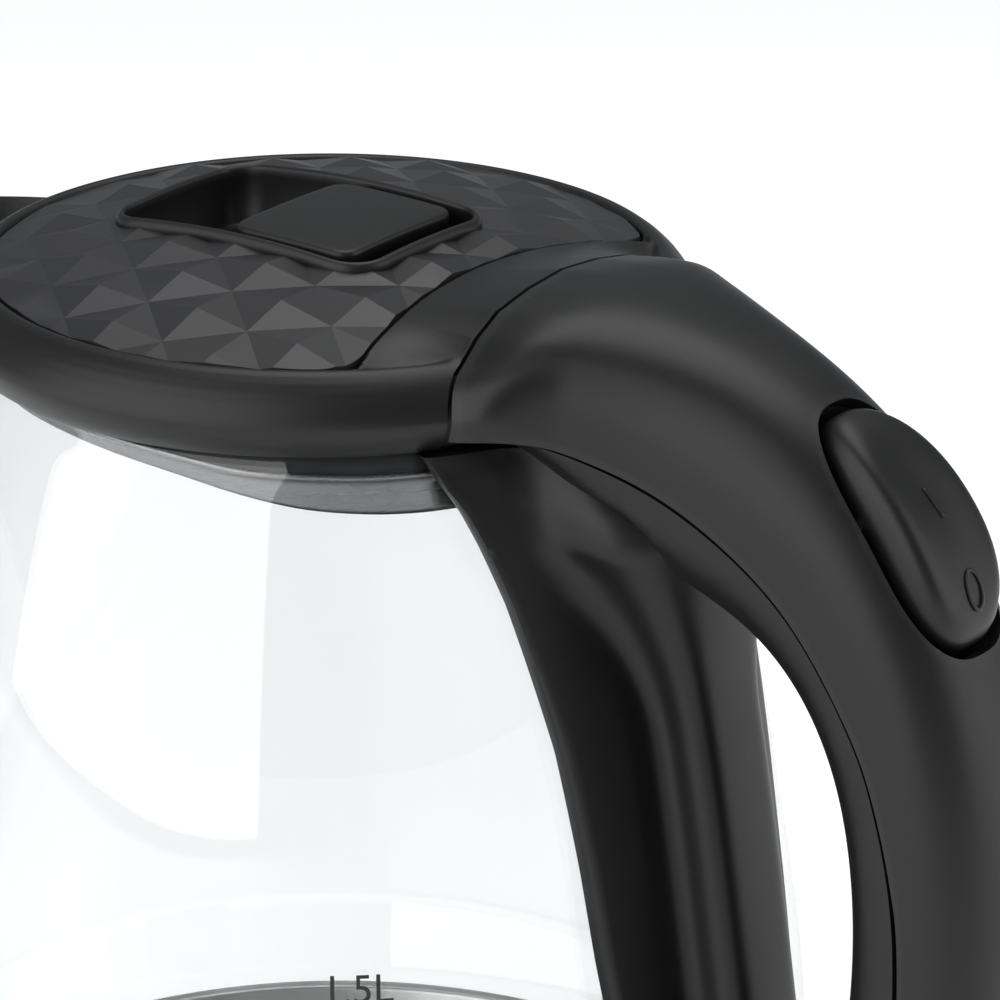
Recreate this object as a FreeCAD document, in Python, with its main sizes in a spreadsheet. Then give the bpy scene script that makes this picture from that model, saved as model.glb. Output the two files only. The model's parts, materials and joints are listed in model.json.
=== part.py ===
import FreeCAD, Part
import Sketcher
import math
import os

# Electric kettle: glass jug, black collar, diamond lid and loop handle on a round power base.
# Millimetres. +Z is up, the handle is towards +X and the spout towards -X.
# The origin is the centre of the power base's footprint, on the surface it stands on.

DOC = FreeCAD.newDocument("kettle")
SHEET = DOC.addObject("Spreadsheet::Sheet", "sheet")
SIZES = {
    # overall sizes
    "rim_level": 208.0,          # height of the collar's rim
    "mouth_radius": 54.0,        # inner radius of the rim
    "jug_radius": 81.0,          # widest outer radius of the glass
    "base_radius": 80.0,
    "running_gap": 0.4,          # between pieces that move apart
    "fit_gap": 0.1,              # between pieces that sit in each other
    # power base
    "base_rim": 16.0,
    "base_deck": 13.0,
    "base_wall": 2.2,
    "cover_low": 2.0,
    "cover_thick": 2.6,
    "foot_ring": 67.3,
    "foot_half": 3.0,
    "screw_ring": 60.0,
    "screw_shank": 1.3,
    "screw_head": 2.8,
    "post_radius": 11.0,
    "post_top": 30.0,
    "post_flange": 24.0,
    "pin_radius": 2.2,
    "slot_inner": 5.6,
    "slot_outer": 8.6,
    "slot_floor": 12.0,
    "gland_bore": 3.2,
    # kettle foot
    "seat_gap": 0.2,             # from the base's deck up to the kettle's foot
    "plate_rise": 8.8,           # from the connector post's top up to the heating plate
    "plate_thick": 1.2,
    "glass_rise": 3.2,           # from the heating plate's underside up to the glass
    "foot_tuck": 5.0,            # glass's foot radius, less than its widest
    "jug_wall": 2.2,
    "socket_radius": 16.8,
    "boss_inset": 12.0,          # screw bosses, in from the glass's foot radius
    "element_inset": 26.0,       # heating element, in from the glass's foot radius
    "element_tube": 4.2,
    # collar and lid
    "collar_bulge": 7.5,         # how far the collar swells out past the mouth
    "collar_depth": 13.0,
    "ledge_inset": 2.8,
    "dome_rise": 7.4,
    "panel_thick": 3.0,
    "bite_setback": 22.7,        # lid panel's rear edge at the middle, in from the mouth's radius
    "bite_radius": 130.0,
    "corner_radius": 8.0,
    "lip_gap": 0.7,              # between the lid's rear edge and the shoulder
    "cover_inset": 4.0,          # inner cover's radius, less than the mouth's
    "cover_drop": 13.0,
    "hinge_setback": 14.0,       # hinge line, in from the mouth's radius
    "hinge_rise": 1.6,
    "hinge_pin": 1.25,
    # latch
    "well_front": 29.8,
    "well_rear": 21.0,
    "well_half": 16.7,
    "well_depth": 3.9,
    "well_wall": 1.5,
    "bezel_proud": 1.9,
    "latch_front": 6.2,
    "latch_rear": 16.6,
    "latch_half": 14.0,
    "latch_top": 8.8,
    "latch_thick": 3.2,
    "latch_travel": 4.0,
    # handle
    "seam_setback": 6.0,         # seam between collar and handle, in from the mouth's radius
    "seam_half": 30.6,
    "seam_crest": 8.2,
    "handle_wall": 2.6,
    "rib_half": 8.0,
    "rib_stand": 12.2,           # rib's crown out from the glass
    "strip_thick": 3.4,
    "strip_half_top": 28.0,
    "strip_half_foot": 20.0,
    "rocker_length": 41.0,
    "rocker_width": 20.0,
    "rocker_proud": 4.5,
    "rocker_arc": 45.0,
    "rocker_gap": 1.7,
    "rocker_pivot": 6.0,         # rocker's pin, below the handle's crown
    # spout
    "beak_stand": 26.0,          # beak's tip, out from the mouth's radius
    "beak_half": 20.0,
    "beak_wall": 2.0,
    "mouth_slot": 12.0,
}
for row, (alias, size) in enumerate(SIZES.items(), start=1):
    SHEET.set("A%d" % row, alias)
    SHEET.set("B%d" % row, str(size))
    SHEET.setAlias("B%d" % row, alias)
DOC.recompute()


def size(alias):
    return float(getattr(SHEET, alias))


RIM = size("rim_level")
MOUTH = size("mouth_radius")
GAP = size("running_gap")
BITE = MOUTH - size("bite_setback")
HINGE = MOUTH - size("hinge_setback")
SEAM = MOUTH - size("seam_setback")
GLASS_FOOT = size("post_top") + size("plate_rise") + size("glass_rise")
FOOT_RADIUS = size("jug_radius") - size("foot_tuck")
NODES = []


def keep(shape_object, node):
    """Name a finished sub-part: its label is its node and its file."""
    shape_object.Label = node
    NODES.append(shape_object)
    return shape_object


def bind(target, **formulas):
    """Bind properties to sheet formulas, in which names are aliases."""
    for prop, formula in formulas.items():
        target.setExpression(prop.replace("__", "."), tied(formula))
    return target


def tied(formula):
    """Turn bare alias names in a formula into references to the sheet."""
    words = []
    word = ""
    for letter in str(formula) + " ":
        if letter.isalnum() or letter in "_.":
            word += letter
            continue
        words.append("sheet." + word if word in SIZES else word)
        words.append(letter)
        word = ""
    return "".join(words).strip()


def revolved(name, profile):
    """A PartDesign body turned about +Z from a closed (radius, height) profile of formulas."""
    body = DOC.addObject("PartDesign::Body", name)
    sketch = body.newObject("Sketcher::SketchObject", name + "_profile")
    plane = [item for item in body.Origin.OriginFeatures if item.Role == "XZ_Plane"][0]
    sketch.AttachmentSupport = [(plane, "")]
    sketch.MapMode = "FlatFace"
    corners = [FreeCAD.Vector(value(r), value(z), 0) for r, z in profile]
    count = len(corners)
    for index in range(count):
        edge = Part.LineSegment(corners[index], corners[(index + 1) % count])
        sketch.addGeometry(edge, False)
    for index in range(count):
        sketch.addConstraint(Sketcher.Constraint("Coincident", index, 2, (index + 1) % count, 1))
    for index, (r, z) in enumerate(profile):
        for kind, formula, number in (("DistanceX", r, corners[index].x), ("DistanceY", z, corners[index].y)):
            spot = sketch.addConstraint(Sketcher.Constraint(kind, -1, 1, index, 1, number))
            sketch.setExpression("Constraints[%d]" % spot, tied(formula))
    turn = body.newObject("PartDesign::Revolution", name + "_turn")
    turn.Profile = sketch
    turn.ReferenceAxis = (sketch, ["V_Axis"])
    turn.Angle = 360.0
    sketch.Visibility = False
    return body


def value(formula):
    """The number that a formula of aliases stands for."""
    text = str(formula)
    total = 0.0
    sign = 1.0
    for term in text.replace("-", " - ").replace("+", " + ").split():
        if term in "+-":
            sign = 1.0 if term == "+" else -1.0
            continue
        total += sign * (size(term) if term in SIZES else float(term))
        sign = 1.0
    return total


def cylinder(name, radius, low, high, ring="0", angle=0.0):
    """An upright cylinder between two heights, at a ring radius and an angle."""
    piece = DOC.addObject("Part::Cylinder", name)
    bind(piece, Radius=radius, Height="(%s) - (%s)" % (high, low), Placement__Base__z=low)
    bind(piece, Placement__Base__x="(%s) * cos(%s deg)" % (ring, angle))
    bind(piece, Placement__Base__y="(%s) * sin(%s deg)" % (ring, angle))
    return piece


def block(name, x0, x1, y0, y1, z0, z1):
    """A box between two corners, each given by formulas."""
    piece = DOC.addObject("Part::Box", name)
    bind(piece, Length="(%s) - (%s)" % (x1, x0), Width="(%s) - (%s)" % (y1, y0), Height="(%s) - (%s)" % (z1, z0))
    bind(piece, Placement__Base__x=x0, Placement__Base__y=y0, Placement__Base__z=z0)
    return piece


def cut(name, base, *tools):
    """The base with each tool taken away in turn."""
    result = base
    for index, tool in enumerate(tools):
        step = DOC.addObject("Part::Cut", "%s_%d" % (name, index))
        step.Base = result
        step.Tool = tool
        result = step
    return result


def joined(name, *pieces):
    """Several solids as one."""
    result = DOC.addObject("Part::MultiFuse", name)
    result.Shapes = list(pieces)
    return result


def freeform(name, shape, placement=None):
    """A feature that holds a shape worked out from the sheet's sizes."""
    piece = DOC.addObject("Part::Feature", name)
    piece.Shape = shape
    piece.Placement = placement or FreeCAD.Placement()
    return piece


def group(name, pieces):
    """Separate equal solids that share one node."""
    result = DOC.addObject("Part::Compound", name)
    result.Links = pieces
    return result


def at(x, y, z):
    return FreeCAD.Vector(x, y, z)


def turned(outline):
    """A solid of revolution about +Z from a closed wire in the XZ plane."""
    return Part.Face(outline).revolve(at(0, 0, 0), at(0, 0, 1), 360)


def smooth(points):
    """A spline edge through points."""
    curve = Part.BSplineCurve()
    curve.interpolate(points)
    return curve.toShape()


def swept(path, radius):
    """A round wire along a path."""
    start = path.FirstParameter
    ring = Part.Wire(Part.makeCircle(radius, path.valueAt(start), path.tangentAt(start)))
    return Part.Wire(path).makePipeShell([ring], True, True)


def polygon(points):
    return Part.makePolygon(points + [points[0]])


# ---------------------------------------------------------------- power base
def make_base():
    deck = "base_deck"
    under = "base_deck - base_wall"
    shell = revolved("base_shell_turned", [
        ("socket_radius + 0.5", under), ("socket_radius + 0.5", deck), ("base_radius - 9", deck),
        ("base_radius - 7", "base_rim"), ("base_radius - 3", "base_rim"), ("base_radius - 0.6", "base_rim - 4"),
        ("base_radius", "cover_low"), ("base_radius - base_wall", "cover_low"),
        ("base_radius - base_wall - 0.5", under)])
    bosses = [cylinder("base_boss_%d" % i, "screw_head + 1.4", "cover_low + cover_thick + fit_gap",
                       "base_deck - 1", "screw_ring", 120.0 * i) for i in range(3)]
    pilots = [cylinder("base_pilot_%d" % i, "screw_shank + 0.05", "cover_low", "base_deck - 3",
                       "screw_ring", 120.0 * i) for i in range(3)]
    notch = block("base_notch", "base_radius - 8", "base_radius + 4", "-5", "5", "cover_low - 1", "10.2")
    body = joined("base_shell_joined", shell, *bosses)
    keep(cut("base_shell", body, notch, *pilots), "base_shell")

    cover = cylinder("base_cover_disc", "base_radius - base_wall - 0.3", "cover_low", "cover_low + cover_thick")
    tools = []
    for i in range(3):
        tools.append(cylinder("cover_sink_%d" % i, "screw_head + 0.3", "cover_low - 1", "cover_low + 1.3",
                              "screw_ring", 120.0 * i))
        tools.append(cylinder("cover_hole_%d" % i, "screw_shank + 0.3", "cover_low", "cover_low + cover_thick + 1",
                              "screw_ring", 120.0 * i))
    tools.append(revolved("foot_groove", [
        ("foot_ring - foot_half - 0.1", "cover_low - 1"), ("foot_ring + foot_half + 0.1", "cover_low - 1"),
        ("foot_ring + foot_half + 0.1", "cover_low + 0.8"), ("foot_ring - foot_half - 0.1", "cover_low + 0.8")]))
    tools.append(block("cover_notch", "base_radius - 9", "base_radius + 4", "-5.2", "5.2", "0", "9"))
    keep(cut("base_cover", cover, *tools), "base_cover")

    screws = []
    for i in range(3):
        head = cylinder("base_head_%d" % i, "screw_head", "cover_low + 0.1", "cover_low + 1.25",
                        "screw_ring", 120.0 * i)
        shank = cylinder("base_shank_%d" % i, "screw_shank", "cover_low + 1.2", "base_deck - 3.6",
                         "screw_ring", 120.0 * i)
        screws.append(joined("base_screw_%d" % i, head, shank))
    keep(group("base_screws", screws), "base_screws")
    keep(revolved("rubber_foot", [
        ("foot_ring - foot_half", "0"), ("foot_ring + foot_half", "0"),
        ("foot_ring + foot_half", "cover_low + 0.75"), ("foot_ring - foot_half", "cover_low + 0.75")]), "rubber_foot")

    low = "cover_low + cover_thick + 0.05"
    keep(revolved("connector_post", [
        ("pin_radius + 0.05", low), ("post_flange", low), ("post_flange", "cover_low + cover_thick + 2.5"),
        ("socket_radius + 0.2", "cover_low + cover_thick + 2.5"), ("socket_radius + 0.2", deck),
        ("post_radius", deck), ("post_radius", "post_top - 1"), ("post_radius - 1", "post_top"),
        ("slot_outer", "post_top"), ("slot_outer", "slot_floor"), ("slot_inner", "slot_floor"),
        ("slot_inner", "post_top"), ("slot_inner - 1", "post_top + 1"),
        ("pin_radius + 0.05", "post_top + 1")]), "connector_post")
    keep(revolved("live_contact", [
        ("slot_outer - 0.75", "slot_floor + 0.05"), ("slot_outer - 0.05", "slot_floor + 0.05"),
        ("slot_outer - 0.05", "post_top - 4"), ("slot_outer - 0.75", "post_top - 4")]), "live_contact")
    keep(revolved("neutral_contact", [
        ("slot_inner + 0.05", "slot_floor + 0.05"), ("slot_inner + 0.65", "slot_floor + 0.05"),
        ("slot_inner + 0.65", "post_top - 3"), ("slot_inner + 0.05", "post_top - 3")]), "neutral_contact")
    keep(revolved("earth_pin", [
        ("0", low), ("pin_radius", low), ("pin_radius", "post_top + 2"), ("pin_radius - 1.2", "post_top + 3"),
        ("0", "post_top + 3")]), "earth_pin")

    gland = block("gland_block", "base_radius - 7.8", "base_radius - 0.6", "-4.8", "4.8",
                  "cover_low + 0.3", "10")
    bore = DOC.addObject("Part::Cylinder", "gland_bore_tool")
    bind(bore, Radius="gland_bore", Height="20", Placement__Base__x="base_radius - 14", Placement__Base__z="6.1")
    bore.Placement.Rotation = FreeCAD.Rotation(at(0, 1, 0), 90)
    keep(cut("cord_gland", gland, bore), "cord_gland")


# ---------------------------------------------------------------- kettle foot
FOOT = "base_deck + seat_gap"
PLATE = "post_top + plate_rise"
GLASS = "post_top + plate_rise + glass_rise"
EDGE = "jug_radius - foot_tuck"
BOSSES = "jug_radius - foot_tuck - boss_inset"
ELEMENT = "jug_radius - foot_tuck - element_inset"


def make_foot():
    low = FOOT
    plate = PLATE
    edge = EDGE
    housing = revolved("housing_turned", [
        (edge + " - 5.8", low), (edge + " - 4.2", low + " + 3.6"), (edge + " + 3", low + " + 6.8"),
        (edge + " + 5.8", low + " + 14.8"), (edge + " + 6.2", plate + " - 1"), (edge + " + 4.6", GLASS + " + 5"),
        (edge + " + 2.1", GLASS + " + 5"), (edge + " + 2.1", plate), (edge + " - 4", plate),
        (edge + " - 4", plate + " - 2.4"), (edge + " + 3.2", plate + " - 2.4"), (edge + " + 3", low + " + 15.4"),
        (edge + " + 0.8", low + " + 9.2"), (edge + " - 5.8", low + " + 5.8")])
    parts = [housing]
    pilots = []
    for i in range(3):
        angle = 60.0 + 120.0 * i
        parts.append(cylinder("foot_boss_%d" % i, "4.2", low + " + 2.2", plate, BOSSES, angle))
        web = DOC.addObject("Part::Box", "boss_web_%d" % i)
        bind(web, Length="boss_inset", Width="3", Height="%s - (%s) - 10" % (plate, low))
        bind(web, Placement__Base__x="(%s) * cos(%s deg) + 1.5 * sin(%s deg)" % (BOSSES, angle, angle))
        bind(web, Placement__Base__y="(%s) * sin(%s deg) - 1.5 * cos(%s deg)" % (BOSSES, angle, angle))
        bind(web, Placement__Base__z=low + " + 10")
        web.Placement.Rotation = FreeCAD.Rotation(at(0, 0, 1), angle)
        parts.append(web)
        pilots.append(cylinder("boss_pilot_%d" % i, "screw_shank + 0.05", low, low + " + 14", BOSSES, angle))
    keep(cut("lower_housing", joined("housing_joined", *parts), *pilots), "lower_housing")

    cover = revolved("bottom_cover_turned", [
        ("socket_radius + 0.7", low), (edge + " - 6.1", low), (edge + " - 6.1", low + " + 2.1"),
        ("socket_radius + 0.7", low + " + 2.1")])
    tools = []
    screws = []
    for i in range(3):
        angle = 60.0 + 120.0 * i
        tools.append(cylinder("bottom_sink_%d" % i, "screw_head + 0.3", low + " - 1", low + " + 1.3",
                              BOSSES, angle))
        tools.append(cylinder("bottom_hole_%d" % i, "screw_shank + 0.3", low, low + " + 4", BOSSES, angle))
        head = cylinder("bottom_head_%d" % i, "screw_head", low + " + 0.15", low + " + 1.25", BOSSES, angle)
        shank = cylinder("bottom_shank_%d" % i, "screw_shank", low + " + 1.2", low + " + 12", BOSSES, angle)
        screws.append(joined("bottom_screw_%d" % i, head, shank))
    keep(cut("bottom_cover", cover, *tools), "bottom_cover")
    keep(group("bottom_screws", screws), "bottom_screws")

    roof = "post_top + 1.3"
    keep(revolved("coupler_socket", [
        ("0", "post_top + 3.5"), ("pin_radius + 0.5", "post_top + 3.5"), ("pin_radius + 0.5", roof),
        ("slot_inner + 0.9", roof), ("slot_inner + 0.9", "slot_floor + 2"), ("slot_outer - 1", "slot_floor + 2"),
        ("slot_outer - 1", roof), ("post_radius + 0.4", roof), ("post_radius + 0.4", low + " + 0.2"),
        ("socket_radius", low + " + 0.2"), ("socket_radius", low + " + 7"), ("socket_radius + 3.2", low + " + 7"),
        ("socket_radius + 3.2", "post_top + 5.4"), ("0", "post_top + 5.4")]), "coupler_socket")
    keep(cylinder("thermostat_disc", "11", "post_top + 5.45", plate + " - 0.1"), "thermostat_disc")
    keep(cylinder("heating_plate", edge + " + 1.9", plate, plate + " + plate_thick"), "heating_plate")
    keep(revolved("lower_gasket", [
        (edge + " - jug_wall - 1", plate + " + plate_thick"), (edge + " + 2", plate + " + plate_thick"),
        (edge + " + 2", GLASS + " + 3.5"), (edge + " + fit_gap", GLASS + " + 3.5"),
        (edge + " + fit_gap", GLASS), (edge + " - jug_wall - 1", GLASS)]), "lower_gasket")
    ring = DOC.addObject("Part::Torus", "element_ring_tube")
    bind(ring, Radius1=ELEMENT, Radius2="element_tube", Angle3="300")
    bind(ring, Placement__Base__z=plate + " - element_tube - 0.1")
    ring.Placement.Rotation = FreeCAD.Rotation(at(0, 0, 1), 30)
    keep(ring, "heating_element")
    tails = []
    for i, angle in enumerate((20.0, -20.0)):
        tails.append(cylinder("element_tail_%d" % i, "2.4", "post_top - 6", plate + " - 0.5", ELEMENT, angle))
    keep(group("element_terminals", tails), "element_terminals")


# ---------------------------------------------------------------- jug and collar
# glass above its belly: share of the way down from the neck to the foot, and out from neck to belly
UPPER_GLASS = ((0.8118, 1.0), (0.7110, 0.9577), (0.5430, 0.8115), (0.3750, 0.6538), (0.2473, 0.5), (0.1129, 0.2846),
               (0.0222, 0.1308), (0.0, 0.0))


def jug_wire(shift):
    """Points up the glass's outer profile, moved in by shift along the radius."""
    neck = RIM - size("collar_depth") - 0.2
    low = GLASS_FOOT + 4.0
    narrow = MOUTH + 1.0
    widest = size("jug_radius")
    tuck = size("foot_tuck")
    points = [(FOOT_RADIUS, GLASS_FOOT), (FOOT_RADIUS, low), (widest - 0.18 * tuck, neck - 0.9126 * (neck - low))]
    for down, out in UPPER_GLASS:
        points.append((narrow + out * (widest - narrow), neck - down * (neck - low)))
    points.append((narrow, RIM - 10.0))
    return [at(radius - shift, 0, height) for radius, height in points]


def side_edges(points):
    """Straight ends and one spline between them."""
    middle = smooth(points[1:-1])
    return [Part.makeLine(points[0], points[1]), middle, Part.makeLine(points[-2], points[-1])]


def make_jug():
    wall = size("jug_wall")
    outer = jug_wire(0.0)
    inner = jug_wire(wall)
    edges = side_edges(outer) + [Part.makeLine(outer[-1], inner[-1])] + side_edges(inner)
    edges.append(Part.makeLine(inner[0], outer[0]))
    glass = turned(Part.Wire(Part.__sortEdges__(edges)))
    slot = size("mouth_slot")
    notch = Part.makeBox(40, 2 * slot, 14, at(-MOUTH - 30, -slot, RIM - 27))
    keep(freeform("glass_jug", glass.cut(notch)), "glass_jug")


def jug_envelope(gap):
    """Everything inside the glass's outer surface grown by a gap, up to the collar."""
    outer = [at(point.x + gap, 0, point.z) for point in jug_wire(0.0)]
    foot = at(0, 0, outer[0].z)
    head = at(0, 0, outer[-1].z)
    edges = side_edges(outer) + [Part.makeLine(outer[-1], head), Part.makeLine(head, foot)]
    edges.append(Part.makeLine(foot, outer[0]))
    return turned(Part.Wire(Part.__sortEdges__(edges)))


def collar_profile(gap):
    """Outer side of the collar from its rim down to its foot, grown by a gap."""
    bulge = size("collar_bulge")
    depth = size("collar_depth")
    crest = [(1.0, 0.6), (3.0, 0.2), (bulge - 1.5, -2.5), (bulge, -depth / 2), (bulge - 1.5, 3.0 - depth),
             (3.2, -depth)]
    return [at(MOUTH + r + gap, 0, RIM + z) for r, z in crest]


def collar_envelope(gap):
    """The collar's outside as a solid grown by a gap, for whatever wraps it."""
    side = collar_profile(gap)
    top = at(0, 0, side[0].z + gap)
    foot = at(0, 0, side[-1].z - gap)
    first = at(side[0].x, 0, top.z)
    last = at(side[-1].x, 0, foot.z)
    edges = [smooth(side), Part.makeLine(first, top), Part.makeLine(top, foot), Part.makeLine(foot, last)]
    if gap > 0:
        edges += [Part.makeLine(side[0], first), Part.makeLine(last, side[-1])]
    return turned(Part.Wire(Part.__sortEdges__(edges)))


ARCH = (-1.0, -0.96, -0.78, -0.4, 0.0, 0.4, 0.78, 0.96, 1.0)
ARCH_RISE = (0.0, 0.42, 0.76, 0.95, 1.0, 0.95, 0.76, 0.42, 0.0)


def dome_height(x, y):
    """Height of the lid's crown above the rim at a place in plan."""
    return size("dome_rise") * (1 - (x * x + y * y) / MOUTH ** 2)


def shoulder_slab(drop, thick):
    """The bridge from the lid's rear edge to the handle's seam: a curved plate lowered by drop."""
    front = BITE - 2.0
    seam = SEAM - 0.1
    crest = size("seam_crest")
    foot = 1.0 - size("collar_depth") / 2
    wide = math.sqrt((MOUTH + 1.0) ** 2 - front ** 2)
    near = [at(front, wide * t, RIM + dome_height(front, wide * t) + 0.2 - drop) for t in ARCH]
    far = [at(seam, size("seam_half") * t, RIM + foot + (crest - foot) * rise - drop)
           for t, rise in zip(ARCH, ARCH_RISE)]
    rows = [[start + (end - start) * (step / 3.0) for start, end in zip(near, far)] for step in range(4)]
    surface = Part.BSplineSurface()
    surface.interpolate(rows)
    return surface.toShape().extrude(at(0, 0, -thick))


def bite(extra):
    """Upright cylinder behind the lid panel's rear edge, drawn back by extra."""
    radius = size("bite_radius")
    return Part.makeCylinder(radius - extra, 80, at(BITE + radius, 0, RIM - 40))


def make_collar():
    depth = size("collar_depth")
    ledge = MOUTH - size("ledge_inset")
    side = collar_profile(0.0)
    wall = MOUTH + 1.3
    rest = [at(wall, 0, RIM - depth), at(wall, 0, RIM - 8.6), at(ledge, 0, RIM - 8.6),
            at(ledge, 0, RIM - 6.6), at(MOUTH + 0.4, 0, RIM - 6.6), at(MOUTH + 0.4, 0, RIM), side[0]]
    edges = [smooth(side)]
    spots = [side[-1]] + rest
    for first, second in zip(spots[:-1], spots[1:]):
        edges.append(Part.makeLine(first, second))
    ring = turned(Part.Wire(Part.__sortEdges__(edges)))

    bridge = shoulder_slab(0.0, 2.2)
    inside = Part.makeCylinder(MOUTH + 2.6, 60, at(0, 0, RIM - 30))
    bridge = bridge.common(inside).common(bite(size("lip_gap")))
    hinge_x = HINGE
    hinge_z = RIM + size("hinge_rise")
    ears = []
    for y in (-19.0, 16.0):
        ears.append(Part.makeBox(6, 3, 7.5, at(hinge_x - 3, y, hinge_z - 3)))
    ear_limit = shoulder_slab(0.4, 12.0)
    ears = [ear.common(ear_limit) for ear in ears]
    pin_way = Part.makeCylinder(size("hinge_pin") + 0.05, 60, hinge_line(), at(0, 1, 0))

    beak = spout_wedge(0.0)
    hollow = spout_wedge(size("beak_wall"))
    beak = beak.cut(hollow).cut(collar_envelope(0.0)).cut(jug_envelope(0.15))
    slot = size("mouth_slot")
    way = Part.makeBox(10, 2 * slot - 4, 5, at(-MOUTH - size("collar_bulge") - 1, 2 - slot, RIM - depth - 1))
    shape = ring.fuse([bridge] + ears).cut(pin_way).fuse(beak).cut(way).removeSplitter()
    keep(freeform("collar", solid_of(shape)), "collar")


def solid_of(shape):
    """The largest solid of a boolean's result, so that no crumb stays in a node."""
    return sorted(shape.Solids, key=lambda item: item.Volume)[-1]


def spout_wedge(inset):
    """The beak: a pointed plan at the collar's waist narrowing down onto the glass."""
    top = RIM - 6.8 + (1.0 if inset else 0.0)
    low = RIM - 34.0 + inset * 1.4
    reach = MOUTH + size("beak_stand") - inset * 1.3
    half = size("beak_half") - inset
    wires = []
    for z, tip, wide in ((top, reach, half), (low, MOUTH + 8.5 - inset, 3.2 - inset * 0.8)):
        root = MOUTH - 6.0
        nose = [at(-root, -wide, z), at(-(root + (tip - root) * 0.62), -wide * 0.72, z), at(-tip, 0, z),
                at(-(root + (tip - root) * 0.62), wide * 0.72, z), at(-root, wide, z)]
        wires.append(Part.Wire([smooth(nose), Part.makeLine(nose[-1], nose[0])]))
    return Part.makeLoft(wires, True, True)


def make_neck():
    keep(revolved("upper_gasket", [
        ("mouth_radius - 1.1", "rim_level - 9.95"), ("mouth_radius + 0.9", "rim_level - 9.95"),
        ("mouth_radius + 0.9", "rim_level - 8.65"), ("mouth_radius - 1.1", "rim_level - 8.65")]), "upper_gasket")
    skirt = revolved("neck_ring_turned", [
        ("mouth_radius - 2.1", "rim_level - 8.65"), ("mouth_radius - 1.35", "rim_level - 8.65"),
        ("mouth_radius - 1.35", "rim_level - 25"), ("mouth_radius - 2.1", "rim_level - 25")])
    trim = block("neck_trim", "-mouth_radius - 5", "mouth_radius * 0.35", "-mouth_radius - 5",
                 "mouth_radius + 5", "rim_level - 26", "rim_level - 17.5")
    way = block("neck_way", "-mouth_radius - 5", "-mouth_radius + 12", "-mouth_slot", "mouth_slot",
                "rim_level - 30", "rim_level - 13")
    keep(cut("neck_ring", skirt, trim, way), "neck_ring")
    frame = block("filter_plate", "-mouth_radius - 1.6", "-mouth_radius - 0.4", "-mouth_slot + 1.4",
                  "mouth_slot - 1.4", "rim_level - 26.9", "rim_level - 13.1")
    slots = []
    for i in range(8):
        y = -9.0 + 2.4 * i
        slots.append(block("filter_slot_%d" % i, "-mouth_radius - 4", "-mouth_radius", str(y), str(y + 1.2),
                           "rim_level - 25", "rim_level - 15"))
    keep(cut("spout_filter", frame, *slots), "spout_filter")


# ---------------------------------------------------------------- lid
def lid_outline(inset):
    """Plan of the lid: a circle bitten at the handle side, with rounded corners."""
    radius = MOUTH - inset
    big = size("bite_radius") + inset
    centre = BITE + size("bite_radius")
    disc = Part.makeCylinder(radius, 60, at(0, 0, RIM - 30))
    tool = Part.makeCylinder(big, 70, at(centre, 0, RIM - 35))
    shape = disc.cut(tool)
    corner = max(size("corner_radius") - inset, 1.0)
    uprights = [edge for edge in shape.Edges
                if len(edge.Vertexes) == 2 and abs(edge.Vertexes[0].X - edge.Vertexes[1].X) < 1e-6
                and abs(edge.Vertexes[0].Y - edge.Vertexes[1].Y) < 1e-6 and edge.Vertexes[0].X > 1.0]
    return shape.makeFillet(corner, uprights)


def dome(lift):
    """A ball whose cap is the lid's crown, raised by lift."""
    rise = size("dome_rise")
    radius = (MOUTH ** 2 + rise ** 2) / (2 * rise)
    return Part.makeSphere(radius + lift, at(0, 0, RIM + rise - radius))


def layer(plan, low, high):
    """The part of an upright plan between two heights."""
    return plan.common(Part.makeBox(300, 300, high - low, at(-150, -150, low)))


def well_block(wall, low, high):
    """The latch well's plan as a block with rounded corners."""
    half = size("well_half") + wall
    x0 = -size("well_front") - wall
    length = size("well_front") + size("well_rear") + 2 * wall
    box = Part.makeBox(length, 2 * half, high - low, at(x0, -half, low))
    uprights = [edge for edge in box.Edges if abs(edge.Vertexes[0].Z - edge.Vertexes[1].Z) > 1.0]
    return box.makeFillet(5.0 + wall, uprights)


def lid_join():
    """Height at which the lid's inner cover meets the panel's screw bosses."""
    return RIM - size("cover_drop") + 4.6


def hinge_line():
    """Start of the hinge's axis."""
    return at(HINGE, -30, RIM + size("hinge_rise"))


def make_lid_panel():
    thick = size("panel_thick")
    plan = lid_outline(GAP / 2)
    panel = plan.common(dome(0.0)).cut(dome(-thick))
    panel = panel.cut(Part.makeBox(300, 300, 60, at(-150, -150, RIM - 60 - thick)))
    panel = panel.cut(bite(-7.0).common(dome(-1.2)))
    for x, y in lid_screw_spots():
        boss = Part.makeCylinder(3.0, 12, at(x, y, lid_join())).common(dome(-thick / 2))
        pilot = Part.makeCylinder(size("screw_shank") + 0.05, 6.5, at(x, y, lid_join() - 1))
        panel = panel.fuse(boss).cut(pilot)
    panel = panel.cut(well_block(size("well_wall") + size("fit_gap"), RIM - 30, RIM + 30))
    keep(freeform("lid_panel", solid_of(panel)), "lid_panel")


def make_latch_well():
    wall = size("well_wall")
    floor = RIM - size("well_depth")
    cup = well_block(wall, floor - wall, RIM + 20).cut(well_block(0.0, floor, RIM + 21))
    cup = cup.common(dome(size("bezel_proud")))
    slit = Part.makeBox(STEM + size("latch_travel") + 2.0, 17, 10, at(-1.0, -8.5, floor - 5))
    keep(freeform("latch_well", cup.cut(slit)), "latch_well")


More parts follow.
